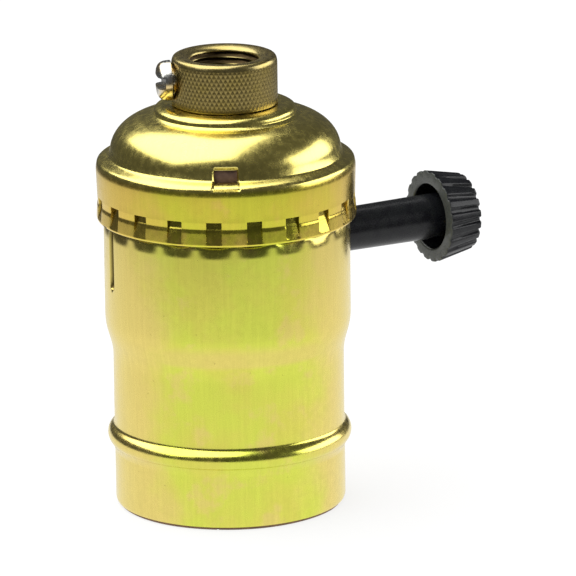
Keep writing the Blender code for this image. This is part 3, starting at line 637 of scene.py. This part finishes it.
# %% Metals: colour, tint, roughness, marks in a millimetre, and their depth in millimetres
METALS = {
    "turned_brass": ((0.50, 0.37, 0.11), (0.58, 0.40, 0.10), 0.30, 7.0, 0.003),
    "zinc_plate": ((0.66, 0.66, 0.62), (0.80, 0.62, 0.30), 0.22, 3.0, 0.004),
    "steel": ((0.52, 0.52, 0.53), (0.46, 0.45, 0.44), 0.33, 6.0, 0.004),
    "copper_alloy": ((0.72, 0.43, 0.20), (0.62, 0.36, 0.16), 0.30, 6.0, 0.003),
    "aluminium": ((0.77, 0.77, 0.76), (0.70, 0.70, 0.70), 0.32, 5.0, 0.003),
}


def metal(name, colour, tint, roughness, marks_per_mm, depth):
    """A bare metal: a base colour with a tint in patches, uneven gloss and fine marks."""
    tree, shader, place = new_finish(name, colour, roughness, 1.0)
    patches = grain(tree, place, 0.5, 4.0)
    colour_by(tree, shader, mixed(tree, between(tree, patches, 0.4, 0.7), colour, tint))
    marks = grain(tree, place, marks_per_mm, 3.0, 0.6)
    rough_by(tree, shader, between(tree, marks, 0.3, 0.7, roughness - 0.06, roughness + 0.08))
    bumped(tree, shader, (marks, depth), (patches, depth * 2))


for name, looks in METALS.items():
    metal(name, *looks)
print("metals:", ", ".join(METALS))

# %% [markdown]
# ## Board, fibre and mouldings
#
# The liner is brown board rolled into a tube, with fibres lying round it. The cap's liner is dark
# vulcanised fibre. The switch body is a dark thermoset moulding, and the knob is black plastic with a fine
# satin grain that catches light on its ribs.

# %% Dull materials: two colours, roughness, patches and grains in a millimetre, depth in mm, squash
DULL = {
    "liner_board": ((0.24, 0.15, 0.10), (0.32, 0.20, 0.13), 0.85, 0.8, 4.0, 0.02, 3.0),
    "fibre": ((0.07, 0.035, 0.022), (0.16, 0.09, 0.055), 0.6, 0.6, 4.0, 0.01, 1.0),
    "brown_moulding": ((0.07, 0.03, 0.018), (0.05, 0.022, 0.014), 0.38, 0.5, 5.0, 0.004, 1.0),
    "black_plastic": ((0.005, 0.005, 0.007), (0.009, 0.010, 0.011), 0.27, 0.7, 9.0, 0.002, 1.0),
}
BLACK_SPECULAR = 0.3


def dull(name, colour, other, roughness, patch_per_mm, grain_per_mm, depth, squash):
    """A material that isn't metal: two colours in patches, and a grain that a squash flattens."""
    tree, shader, place = new_finish(name, colour, roughness, 0.0)
    flat = times(tree, place, (1.0, 1.0, squash))
    patches = grain(tree, flat, patch_per_mm, 4.0)
    colour_by(tree, shader, mixed(tree, between(tree, patches, 0.35, 0.65), colour, other))
    fine = grain(tree, flat, grain_per_mm, 4.0, 0.6)
    rough_by(tree, shader, between(tree, fine, 0.3, 0.7, roughness - 0.07, roughness + 0.07))
    bumped(tree, shader, (fine, depth), (patches, depth))
    return shader


shaders = {name: dull(name, *looks) for name, looks in DULL.items()}
shaders["black_plastic"].inputs["Specular IOR Level"].default_value = BLACK_SPECULAR
print("dull materials:", ", ".join(DULL))

# %% [markdown]
# ## Outer shell
#
# The shell is one drawn sheet: an upper wall, a shoulder, a lower wall with a rolled bead, and a plain
# rim. The cap snaps on over it, and the pockets of the cap have left soft dimples in it, which fade out
# just below the skirt. Tilted in like that, the metal shows the dim room, so the dimples look like dark
# blobs. A long key groove runs down from the skirt. We spin the outline with close rows where these marks
# are, and one short function presses them in.

# %% The shell's outline and its pressed marks
POCKETS = 20
POCKET_PITCH = 360.0 / POCKETS
POCKET_ANGLE = -124.2
DIMPLE_DEPTH = 0.75
DIMPLE_LOW_Z = SKIRT_Z - 1.95
DIMPLE_TOP_Z = SKIRT_Z + 1.5
BEAD_Z = RIM_Z + 9.65
BEAD_PROUD = 0.95
BEAD_ROUND = 1.56
BEAD_END = 50.0
KEY_DEPTH = 0.6


def shell_corners(inset, bead_steps=18):
    """The corners of the shell's outline, moved in by an inset. Its bead is round, with sloped feet."""
    upper, lower, neck = SHELL_UPPER_R - inset, SHELL_LOWER_R - inset, SHELL_NECK_R - inset
    middle = (lower + BEAD_PROUD - BEAD_ROUND, BEAD_Z)
    bead = arc(middle, (BEAD_ROUND, BEAD_ROUND), BEAD_END, -BEAD_END, bead_steps)
    foot = bead[0][1] - BEAD_Z + (bead[0][0] - lower) / math.tan(math.radians(BEAD_END))
    return [(neck, SHELL_TOP_Z), (neck, SKIRT_Z + 0.5, 0.4), (upper, SKIRT_Z - 0.3, 0.4),
            (upper, SHOULDER_HIGH_Z, 1.3), (lower, SHOULDER_LOW_Z, 1.3), (lower, BEAD_Z + foot, 0.35),
            *bead, (lower, BEAD_Z - foot - 0.7, 0.15), (lower, RIM_Z + 0.3, 0.25), (lower - 0.12, RIM_Z)]


def shell_step(height):
    if DIMPLE_LOW_Z - 0.2 < height < SKIRT_Z + 1.0:
        return 0.16
    return 0.25 if abs(height - KEY_TOP_Z + KEY_LENGTH) < 1.0 else 0.8


def from_middle(angle, middle, pitch=360.0):
    """How far an angle is from the nearest middle of a pattern, with its sign."""
    return (angle - middle + pitch / 2) % pitch - pitch / 2


def sheet_wave(angle, height):
    """Drawn sheet is never quite true: a slow wave of a few hundredths of a millimetre."""
    turn = np.radians(angle)
    return 0.012 * np.cos(3 * turn + height / 5.0) + 0.01 * np.cos(5 * turn - height / 3.1 + 1.0)


def shell_press(angle, height):
    """The dimples behind the cap's pockets, and the key groove with its rounded end."""
    share = np.abs(from_middle(angle, POCKET_ANGLE, POCKET_PITCH)) / (POCKET_PITCH / 2)
    dimple = DIMPLE_DEPTH * ease(share, 0.98, 0.25) * ease(height, DIMPLE_LOW_Z, DIMPLE_TOP_Z)
    across = np.radians(from_middle(angle, KEY_ANGLE)) * SHELL_UPPER_R / KEY_HALF
    end = (height - (KEY_TOP_Z - KEY_LENGTH + KEY_HALF)) / KEY_HALF
    reach = np.sqrt(across ** 2 + np.clip(-end, 0.0, None) ** 2)
    groove = KEY_DEPTH * ease(reach, 1.0, 0.45) * (height < KEY_TOP_Z)
    return sheet_wave(angle, height) - dimple - groove


# %% Spin the shell, and cut the slot that lets the switch drop in
SHELL_COLUMNS = 300
KEY_COLUMNS = 41
KEY_SPREAD = 3.0
INNER_STEP = 0.6
SHAFT_SLOT_HALF = 2.2
SLOT_IN_R = 10.0
SLOT_OUT_R = 20.0


def shaft_slot(top):
    """Cutters for the shaft's slot in a tube that ends at a height: a round foot, open above."""
    foot = lay(peg(SHAFT_SLOT_HALF, SLOT_IN_R, SLOT_OUT_R), 0.0, KNOB_Z)
    mouth = block((SLOT_IN_R, -SHAFT_SLOT_HALF, KNOB_Z), (SLOT_OUT_R, SHAFT_SLOT_HALF, top + 1.0))
    return foot, mouth


key_columns = (KEY_ANGLE + np.linspace(-KEY_SPREAD, KEY_SPREAD, KEY_COLUMNS)) % 360.0
shell_angles = np.concatenate([even(SHELL_COLUMNS, POCKET_ANGLE) % 360.0, key_columns])
shell = spun("shell_sheet", np.unique(np.round(shell_angles, 3)),
             (filled(rounded(shell_corners(0.0)), shell_step), shell_press),
             (filled(rounded(shell_corners(WALL, 8), 2), INNER_STEP)[::-1], shell_press))
carve(shell, *shaft_slot(SHELL_TOP_Z))
stand_in(shell, "outer_shell")

# %% [markdown]
# ## Cap
#
# The cap is a second drawn sheet: a rolled ring round the bushing, a dome, a flange that slopes down to a
# rounded corner, and a skirt. Twenty pockets are pressed into the skirt. Each is deepest at its top, where
# it ends in a sharp ledge, and runs out near the rim, so its floor leans back and looks dark from the
# front. A soft crease runs round the skirt through the pockets. For edges as crisp as the pressed ones,
# the angles and rows sit close on both sides of every pocket's edges, and everything else in between stays
# coarse.

# %% The cap's outline and its pockets
HOLE_R = 6.2
RING_R = 9.95
RING_Z = CROWN_Z - 1.15
RING_ROLL = (1.4, 0.85)
SEAM_R = 10.45
DOME_Z = FLANGE_Z + 1.0
DOME_RISE = 5.72
DOME_LEAN = 8.0
DOME_FULL = 0.91
DOME_CENTRE_R = 8.7
DOME_FLARE = 0.2
FLANGE_FOOT_Z = FLANGE_Z + 0.95
FLANGE_CORNER_Z = FLANGE_Z + 0.32
RIM_UP = 0.12
CREASE_Z = SKIRT_Z + 2.4
CREASE_IN = 0.17
POCKET_HALF = 1.03
POCKET_DEPTH = 0.65
POCKET_FOOT_Z = SKIRT_Z + 0.4
POCKET_TOP_Z = SKIRT_Z + 3.55
POCKET_EDGE = 0.06
POCKET_CREASE = 0.05
LEDGE_EDGE = 0.02


def cap_corners(inset, dome_steps=40):
    """The corners of the cap's outline, moved in by an inset, from the hole for the bushing to the rim."""
    crown, skirt, foot = CROWN_Z - inset, SKIRT_R - inset, DOME_R + DOME_FLARE - inset
    ring_wide, ring_high = RING_ROLL
    roll = arc((RING_R - ring_wide, crown - ring_high), (ring_wide - inset, ring_high), 88.0, 4.0, 10)
    reach = (SEAM_R - DOME_CENTRE_R) / (DOME_R - DOME_CENTRE_R)
    start = math.degrees(math.acos(reach ** (1 / DOME_FULL)))
    radii = (DOME_R - DOME_CENTRE_R - inset, DOME_RISE - inset)
    dome = arc((DOME_CENTRE_R, DOME_Z), radii, start, DOME_LEAN, dome_steps, DOME_FULL)
    waist = skirt - CREASE_IN
    ledge_z = POCKET_TOP_Z + (WALL if inset else 0.0)
    return [(HOLE_R, crown), *roll, (RING_R + 0.02 - inset, RING_Z - inset / 2, 0.08), *dome,
            (foot, FLANGE_FOOT_Z - inset, 0.3), (skirt - 0.2, FLANGE_CORNER_Z - inset / 2, 0.4),
            (skirt, FLANGE_CORNER_Z - 1.0, 0.35),
            (waist + 0.05, ledge_z + LEDGE_EDGE), (waist + 0.05, ledge_z - LEDGE_EDGE),
            (waist, CREASE_Z + 0.1, 0.12), (waist + 0.1, CREASE_Z - 0.3, 0.15),
            (skirt + 0.01, SKIRT_Z + RIM_UP + 0.14, 0.12), (skirt - 0.09, SKIRT_Z + RIM_UP)]


def cap_step(height):
    if height < POCKET_TOP_Z + WALL:
        return 0.13
    return 0.3 if WINDOW_LOW_Z - 0.3 < height < WINDOW_HIGH_Z + WINDOW_LIP + 0.2 else 0.8


def pocket(angle, height, grow):
    """How deep the pockets are at a place. With grow they are larger all round, for the inner side."""
    across = np.abs(np.radians(from_middle(angle, POCKET_ANGLE, POCKET_PITCH)) * SKIRT_R)
    up = np.clip((height - POCKET_FOOT_Z + grow) / (POCKET_TOP_Z - POCKET_FOOT_Z), 0.0, 1.0)
    floor = POCKET_DEPTH * up - POCKET_CREASE * ease(np.abs(height - CREASE_Z), 0.3, 0.0)
    inside = ease(across, POCKET_HALF + grow + POCKET_EDGE, POCKET_HALF + grow)
    return floor * inside * (height < POCKET_TOP_Z + grow)


WINDOW_ANGLES = (-118.6, 61.4)
WINDOW_HALF = 1.58
WINDOW_LOW_Z = FLANGE_Z + 0.66
WINDOW_HIGH_Z = WINDOW_LOW_Z + 1.75
WINDOW_LIP = 0.6
WINDOW_LIP_IN = 0.42


def window_lip(angle, height):
    """The sheet above each lanced window is pressed in a little, so that its edge shows as a bright lip."""
    inward = 0.0
    for middle in WINDOW_ANGLES:
        across = np.abs(np.radians(from_middle(angle, middle)) * DOME_R)
        inward = inward + ease(across, WINDOW_HALF + 0.25, WINDOW_HALF - 0.05)
    run = ease(height, WINDOW_HIGH_Z + WINDOW_LIP, WINDOW_HIGH_Z - 0.1) * (height > FLANGE_Z)
    return WINDOW_LIP_IN * inward * run


def cap_press(grow):
    """The push for one side of the cap's sheet, whose pockets grow by the wall on the inner side."""
    def push(angle, height):
        return sheet_wave(angle, height) - pocket(angle, height, grow) - window_lip(angle, height)
    return push


# %% Spin the cap, and lance its windows
PLAIN_COLUMNS = 90
WINDOW_SPREAD = 2.1
WINDOW_COLUMNS = 22
WINDOW_IN_R = DOME_R - 1.4
WINDOW_OUT_R = DOME_R + 0.5

pocket_edges = np.degrees(np.array([0.0, 0.5, POCKET_HALF, POCKET_HALF + POCKET_EDGE, POCKET_HALF + WALL,
                                    POCKET_HALF + WALL + POCKET_EDGE, 2.0]) / SKIRT_R)
one_pocket = np.concatenate([-pocket_edges[1:], pocket_edges, [POCKET_PITCH / 2]])
window_edges = np.degrees(np.linspace(-WINDOW_SPREAD, WINDOW_SPREAD, WINDOW_COLUMNS) / DOME_R)
cap_angles = [even(PLAIN_COLUMNS)]
cap_angles += [(POCKET_ANGLE + step * POCKET_PITCH + one_pocket) % 360.0 for step in range(POCKETS)]
cap_angles += [(middle + window_edges) % 360.0 for middle in WINDOW_ANGLES]
cap = spun("cap_sheet", np.unique(np.round(np.concatenate(cap_angles), 1)),
           (filled(rounded(cap_corners(0.0)), cap_step), cap_press(0.0)),
           (filled(rounded(cap_corners(WALL, 12), 2), cap_step)[::-1], cap_press(WALL)))
for middle in WINDOW_ANGLES:
    window = block((WINDOW_IN_R, -WINDOW_HALF, WINDOW_LOW_Z), (WINDOW_OUT_R, WINDOW_HALF, WINDOW_HIGH_Z))
    carve(cap, turned(window, middle))
stand_in(cap, "cap")

# %% [markdown]
# ## Bushing
#
# The bushing is a turned brass collar with a diamond knurl, a plain lip that rolls over into the bore, and
# a fine pipe thread in the bore. It is staked into the cap from inside. The knurl is two sets of slanted
# grooves: where a groove of either set passes, the surface is low, and the diamonds between stand up. The
# thread is the same idea with one groove that climbs by its pitch in each turn. The lathe's fine marks run
# round the brass, painted shade makes the knurl darker than the lip, and the bore is dark brown.

# %% The bushing's outline, knurl and thread
BORE_R = 4.8
CREST_R = 6.4
CREST_FALL = 0.7
SPIGOT_R = 5.9
BUSHING_FOOT_Z = CROWN_Z + 0.12
STAKE_R = 6.9
STAKE_TOP_Z = BUSHING_END_Z + 0.8
LIP = 0.8
KNURLS = 72
KNURL_ROWS = 8
KNURL_LEAD = 1.12
KNURL_DEPTH = 0.04
PIPE_PITCH = 25.4 / 27
PIPE_DEPTH = 0.4
BORE_STEP = 0.16
BORE_DARK_R = 5.5
BORE_DARK_MOST = 0.9
LIP_COLOUR = (0.46, 0.375, 0.15)
# The knurled band's colour, darkened as painted shade
KNURL_SHADE_COLOUR = (0.40, 0.31, 0.11)
YELLOW_BRASS = (0.42, 0.32, 0.07)
BORE_COLOUR = (0.05, 0.028, 0.016)


def ridge(phase):
    """A triangle wave: 0 in the groove and 1 halfway to the next."""
    return 1.0 - np.abs(2.0 * (phase % 1.0) - 1.0)


def knurl(angle, height):
    turns = KNURLS * angle / 360.0
    climb = (height - BUSHING_FOOT_Z) / KNURL_LEAD
    low = np.maximum(*(1.0 - np.minimum(1.0, 2.0 * ridge(turns + way * climb)) for way in (1, -1)))
    end = BUSHING_TOP_Z - LIP
    run = ease(height, end, end - 0.2) * ease(height, BUSHING_FOOT_Z, BUSHING_FOOT_Z + 0.2)
    return -KNURL_DEPTH * low * run * (height > BUSHING_FOOT_Z)


def pipe_thread(angle, height):
    run = ease(height, BUSHING_TOP_Z - CREST_FALL, BUSHING_TOP_Z - CREST_FALL - 0.2)
    return PIPE_DEPTH * ridge(height / PIPE_PITCH - angle / 360.0) * run


def bushing_step(height):
    return KNURL_LEAD / KNURL_ROWS if height > BUSHING_FOOT_Z else 0.3


outside = rounded([(CREST_R, BUSHING_TOP_Z), (BUSHING_R - 0.2, BUSHING_TOP_Z - 0.06, 0.5),
                   (BUSHING_R, BUSHING_TOP_Z - 0.9, 0.3), (BUSHING_R, BUSHING_FOOT_Z, 0.12),
                   (SPIGOT_R, BUSHING_FOOT_Z, 0.1), (SPIGOT_R, STAKE_TOP_Z, 0.1),
                   (STAKE_R, STAKE_TOP_Z, 0.15), (STAKE_R, BUSHING_END_Z, 0.2),
                   (BORE_R + 0.3, BUSHING_END_Z)])
mouth = arc((CREST_R, BUSHING_TOP_Z - CREST_FALL), (CREST_R - BORE_R, CREST_FALL), 180.0, 91.0, 12)
bore = [(BORE_R + 0.3, BUSHING_END_Z + 0.01), (BORE_R, BUSHING_END_Z + 0.3), *mouth]


def knurled_brass():
    """Turned brass with painted shade that darkens the knurled band, and dark brown down the bore."""
    tree, shader, place = new_finish("knurled_brass", LIP_COLOUR, 0.3, 1.0)
    radius = from_axis(tree, place)
    height = put(tree, "ShaderNodeSeparateXYZ", {0: place}).outputs["Z"]
    # Painted shade: the knurled band below the lip is darker than the lip.
    knurl_shade = product(tree, between(tree, height, BUSHING_TOP_Z - LIP + 0.1, BUSHING_TOP_Z - LIP - 0.15),
                     between(tree, radius, BUSHING_R - 0.4, BUSHING_R - 0.3))
    crest_z = BUSHING_TOP_Z - CREST_FALL
    # Dark brown down the bore, below the crest.
    bore_dark = product(tree, between(tree, height, crest_z + 0.1, crest_z - 0.05),
                  between(tree, radius, BORE_R + 0.03, BORE_R + 0.1),
                  between(tree, radius, BORE_DARK_R + 0.5, BORE_DARK_R))
    colour = mixed(tree, knurl_shade, LIP_COLOUR, KNURL_SHADE_COLOUR)
    patches = grain(tree, place, 0.4, 4.0)
    colour = mixed(tree, between(tree, patches, 0.4, 0.75, 0.0, 0.45), colour, YELLOW_BRASS)
    colour_by(tree, shader, mixed(tree, product(tree, bore_dark, BORE_DARK_MOST), colour, BORE_COLOUR))
    marks = grain(tree, times(tree, place, (0.2, 0.2, 3.0)), 6.0, 3.0, 0.6)
    rough_by(tree, shader, sums(tree, "ADD", between(tree, marks, 0.3, 0.7, 0.24, 0.36),
                                product(tree, bore_dark, EXTRA_ROUGHNESS)))
    bumped(tree, shader, (marks, 0.003), (grain(tree, place, 7.0, 2.0), 0.002))


# %% Spin the bushing, and drill it for the set screw
SET_SCREW_ANGLE = 159.0
SET_SCREW_Z = (low_of("set_screw") + high_of("set_screw")) / 2
SET_SCREW_SHANK_R = 2.0
HOLE_IN_R = 2.5
HOLE_OUT_R = 9.0

bushing = spun("bushing_knurled", even(KNURLS * KNURL_ROWS), (filled(outside, bushing_step), knurl),
               (filled(bore, BORE_STEP), pipe_thread))
carve(bushing, lay(peg(SET_SCREW_SHANK_R + 0.3, HOLE_IN_R, HOLE_OUT_R), SET_SCREW_ANGLE, SET_SCREW_Z))
knurled_brass()
stand_in(bushing, "bushing", sharp=50.0)

# %% [markdown]
# ## Set screw
#
# A slotted screw goes through the bushing's side and locks the lamp's pipe. Its head is turned with a
# rounded crown, and the slot is sawn across it, so we spin the head and cut the slot with a block. The
# shank has a real thread of its own, which shows only in the gap behind the head.

# %% The set screw
SET_SCREW_HEAD_R = 2.85
SET_SCREW_SEAT = BUSHING_R + 0.15
SET_SCREW_FACE = SET_SCREW_SEAT + 2.1
SET_SCREW_TIP = BORE_R + 0.3
SET_SCREW_SLOT = 1.6
SET_SCREW_SLOT_DEPTH = 1.1
SET_SCREW_PITCH = 0.79
SET_SCREW_THREAD = 0.28
SET_SCREW_COLUMNS = 72
SET_SCREW_STEP = 0.09


def set_screw_thread(angle, height):
    run = ease(height, SET_SCREW_TIP, SET_SCREW_TIP + 0.3) * (height < SET_SCREW_SEAT - 0.05)
    return -SET_SCREW_THREAD * (1.0 - ridge(height / SET_SCREW_PITCH - angle / 360.0)) * run


head = rounded([(0.0, SET_SCREW_FACE), (SET_SCREW_HEAD_R - 0.1, SET_SCREW_FACE - 0.2, 1.3),
                (SET_SCREW_HEAD_R, SET_SCREW_SEAT, 0.12), (SET_SCREW_SHANK_R, SET_SCREW_SEAT)])
shank = [(SET_SCREW_SHANK_R, SET_SCREW_SEAT - 0.02), (SET_SCREW_SHANK_R, SET_SCREW_TIP + 0.2),
         (SET_SCREW_SHANK_R - 0.2, SET_SCREW_TIP), (0.0, SET_SCREW_TIP)]
set_screw = spun("set_screw_slotted", even(SET_SCREW_COLUMNS), (filled(head, 0.5), None),
                 (filled(shank, SET_SCREW_STEP), set_screw_thread))
saw = block((-SET_SCREW_SLOT / 2, -5.0, SET_SCREW_FACE - SET_SCREW_SLOT_DEPTH),
            (SET_SCREW_SLOT / 2, 5.0, SET_SCREW_FACE + 1.0))
carve(set_screw, saw)
stand_in(lay(set_screw, SET_SCREW_ANGLE, SET_SCREW_Z), "set_screw")

# %% [markdown]
# ## Knob
#
# The knob is one black moulding: a long tapered stem, and a cupped head with twenty flat-topped ribs. The
# absolute value of a sine gives the ribs their places, and an ease between two of its values gives each
# one a flat top and sloped sides. They deepen towards the nose, as a moulded draft does. The stem goes on
# inside the cup to the head's face. A painted highlight makes the rim round the cup a little paler than
# the ribs.

# %% The knob
KNOB_BACK = KNOB_FRONT - 5.6
KNOB_BACK_R = 6.6
KNOB_FRONT_R = 5.5
CUP_R = 4.65
CUP_FLOOR = KNOB_FRONT - 1.1
STEM_ROOT_R = 3.08
STEM_END_R = 3.2
SHAFT_HOLE_R = 1.9
SHAFT_HOLE_END = KNOB_ROOT + 13.3
# A painted highlight: the paler colours of the rim round the cup
RIM_HIGHLIGHT_GREY = (0.056, 0.058, 0.057)
RIM_HIGHLIGHT_GREEN = (0.068, 0.078, 0.069)
RIBS = 20
RIB_COLUMNS = 14
RIB_DEPTH = 0.5


def ribs(angle, height):
    """Flat-topped ribs, shallow at the back rim and deep at the nose."""
    stand = ease(np.abs(np.sin(np.radians(angle) * RIBS / 2)), 0.35, 0.75)
    share = 0.5 + 0.5 * (height - KNOB_BACK) / (KNOB_FRONT - KNOB_BACK)
    return -RIB_DEPTH * share * (1.0 - stand) * (height > KNOB_BACK - 0.01)


def paint_rim_highlight(material):
    """Paint a highlight on the rim round the cup, so that it is paler than the ribs."""
    tree = material.node_tree
    shader = tree.nodes["Principled BSDF"]
    place = place_in_mm(tree)
    split = put(tree, "ShaderNodeSeparateXYZ", {0: place})
    above = sums(tree, "SUBTRACT", split.outputs["Z"], KNOB_Z)
    off_axis = put(tree, "ShaderNodeCombineXYZ", {"Y": split.outputs["Y"], "Z": above}).outputs[0]
    rim = product(tree, between(tree, split.outputs["X"], KNOB_BACK + 0.25, KNOB_BACK + 0.05),
                  between(tree, length_of(tree, off_axis), CUP_R - 0.2, CUP_R + 0.1))
    # Painted highlight on the rim, in two greys mottled by noise.
    rim_highlight = mixed(tree, grain(tree, place, 2.0, 3.0), RIM_HIGHLIGHT_GREY, RIM_HIGHLIGHT_GREEN)
    colour_by(tree, shader, mixed(tree, rim, shader.inputs["Base Color"].links[0].from_socket, rim_highlight))


knob_face = np.array([(0.0, KNOB_FRONT), (1.5, KNOB_FRONT), (KNOB_FRONT_R - 1.6, KNOB_FRONT)])
knob_outside = rounded([(KNOB_FRONT_R - 1.3, KNOB_FRONT, 0.0), (KNOB_FRONT_R, KNOB_FRONT - 0.02, 0.35),
                        (KNOB_BACK_R, KNOB_BACK + 0.05, 0.22), (KNOB_BACK_R - 0.75, KNOB_BACK)])
knob_inside = rounded([(KNOB_BACK_R - 0.95, KNOB_BACK), (CUP_R, KNOB_BACK, 0.35),
                       (CUP_R - 0.1, CUP_FLOOR, 0.6), (STEM_END_R, CUP_FLOOR, 0.5), (STEM_END_R, KNOB_BACK),
                       (STEM_ROOT_R, KNOB_ROOT, 0.12), (SHAFT_HOLE_R, KNOB_ROOT, 0.1),
                       (SHAFT_HOLE_R, SHAFT_HOLE_END), (0.0, SHAFT_HOLE_END)])
knob = spun("knob_ribbed", even(RIBS * RIB_COLUMNS), (knob_face, None), (filled(knob_outside, 0.5), ribs),
            (filled(knob_inside, 0.8), None))
paint_rim_highlight(finishes["black_plastic"])
stand_in(lay(knob, 0.0, KNOB_Z), "knob", sharp=40.0)

# %% [markdown]
# ## Liners
#
# The liner is a board tube that stands a hair below the shell's rim, where its brown edge shows. Board is
# rolled, so its edge isn't quite even, and one small notch marks its seam. The cap's liner is a dark fibre
# cup, seen only through the windows.

# %% The two liners
LINER_IN_R = 14.9
LINER_R = 15.72
LINER_LOW_Z = low_of("shell_liner")
LINER_TOP_Z = high_of("shell_liner")
LINER_COLUMNS = 240
LINER_STEP = 2.0
SEAM_ANGLE = -125.4
SEAM_HALF = 0.15
SEAM_HIGH = 0.25
CUP_GAP = 0.3
CUP_WALL = 0.35
CUP_COLUMNS = 160
CUP_STEP = 1.0


def board_edge(angle, height):
    """Rolled board is a little uneven near its cut edge."""
    turn = np.radians(angle)
    return 0.03 * np.cos(7 * turn) * ease(height, LINER_LOW_Z + 3.0, LINER_LOW_Z)


outer_side = rounded([(LINER_R - 0.1, LINER_TOP_Z), (LINER_R, LINER_TOP_Z - 0.1),
                      (LINER_R, LINER_LOW_Z, 0.12), (LINER_R - 0.3, LINER_LOW_Z)])
inner_side = rounded([(LINER_IN_R + 0.3, LINER_LOW_Z), (LINER_IN_R, LINER_LOW_Z, 0.12),
                      (LINER_IN_R, LINER_TOP_Z - 0.1), (LINER_IN_R + 0.1, LINER_TOP_Z)])
liner = spun("board_liner", even(LINER_COLUMNS), (filled(outer_side, LINER_STEP), board_edge),
             (filled(inner_side, LINER_STEP), board_edge))
notch = block((LINER_R - 0.35, -SEAM_HALF, LINER_LOW_Z - 1.0),
              (LINER_R + 0.5, SEAM_HALF, LINER_LOW_Z + SEAM_HIGH))
carve(liner, *shaft_slot(LINER_TOP_Z), turned(notch, SEAM_ANGLE))
stand_in(liner, "shell_liner")


def cup_corners(inset):
    radii = (DOME_R - DOME_CENTRE_R - inset, DOME_RISE - inset)
    return [*arc((DOME_CENTRE_R, DOME_Z), radii, 71.0, 0.0, 20), (DOME_R - inset, low_of("cap_liner"))]


cup = spun("fibre_cup", even(CUP_COLUMNS), (filled(cup_corners(WALL + CUP_GAP), CUP_STEP), None),
           (filled(cup_corners(WALL + CUP_GAP + CUP_WALL), CUP_STEP)[::-1], None))
stand_in(cup, "cap_liner")

# %% [markdown]
# ## Screw shell
#
# The lamp screws into a thin aluminium shell whose wall is rolled into a round thread, the same on both
# sides. The push is a cosine that climbs one pitch in each turn, and it fades out at the open end and
# below the plain neck.

# %% The screw shell
THREAD_R = 13.3
THREAD_DEPTH = 0.75
THREAD_PITCH = 3.629
SHEET = 0.35
THREAD_TOP_Z = high_of("screw_shell")
THREAD_LOW_Z = low_of("screw_shell")
THREAD_END_Z = THREAD_TOP_Z - 4.0
THREAD_COLUMNS = 144
FLANGE_HOLE_R = 6.8
RIVET_HOLE_R = 1.5


def rolled_thread(angle, height):
    run_in = THREAD_PITCH / 2
    fade = np.clip(np.minimum((height - THREAD_LOW_Z) / run_in, (THREAD_END_Z - height) / run_in), 0.0, 1.0)
    turns = height / THREAD_PITCH - angle / 360.0
    return -THREAD_DEPTH * fade * (0.5 - 0.5 * np.cos(2 * math.pi * turns))


def screw_shell_corners(inset):
    outer, top = THREAD_R + SHEET - inset, THREAD_TOP_Z - inset
    return [(FLANGE_HOLE_R, top), (outer, top, 0.9), (outer, THREAD_LOW_Z)]


def thread_step(height):
    return 0.3 if height < THREAD_END_Z else 1.0


screw_shell = spun("rolled_screw_shell", even(THREAD_COLUMNS),
                   (filled(rounded(screw_shell_corners(0.0)), thread_step), rolled_thread),
                   (filled(rounded(screw_shell_corners(SHEET)), thread_step)[::-1], rolled_thread))
for rivet in ("body_rivet_front", "body_rivet_back"):
    low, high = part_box(rivet)
    hole = peg(RIVET_HOLE_R, THREAD_TOP_Z - 2.0, THREAD_TOP_Z + 1.0)
    hole.data.transform(Matrix.Translation(((low.x + high.x) / 2, (low.y + high.y) / 2, 0.0)))
    carve(screw_shell, hole)
stand_in(screw_shell, "screw_shell")

# %% [markdown]
# ## Pieces inside
#
# The switch and the rest of the inside stay as they were modelled, because their shapes are right and the
# camera can't see them. Each node still gets the finish of the real piece, and a small bevel, so that its
# edges catch light when someone opens the model.

# %% Finishes for the pieces that keep their solids, with the width of each bevel in millimetres
BEVELS = {"lower_body": 0.12, "upper_body": 0.12, "centre_contact": 0.08, "hot_terminal": 0.08,
          "neutral_terminal": 0.08, "hot_terminal_screw": 0.1, "neutral_terminal_screw": 0.1,
          "body_rivet_front": 0.1, "body_rivet_back": 0.1, "drive_shaft": 0.12, "switch_rotor": 0.1,
          "bridge_contact": 0.08, "detent_spring": 0.06}
for node, width in BEVELS.items():
    piece = frame["nodes"][node]
    dress(piece, node)
    bevel = piece.modifiers.new("edge", "BEVEL")
    bevel.width = width * MM
    bevel.segments = 2
    bevel.limit_method = "ANGLE"
    bevel.angle_limit = math.radians(35.0)
print("kept solids:", len(BEVELS))
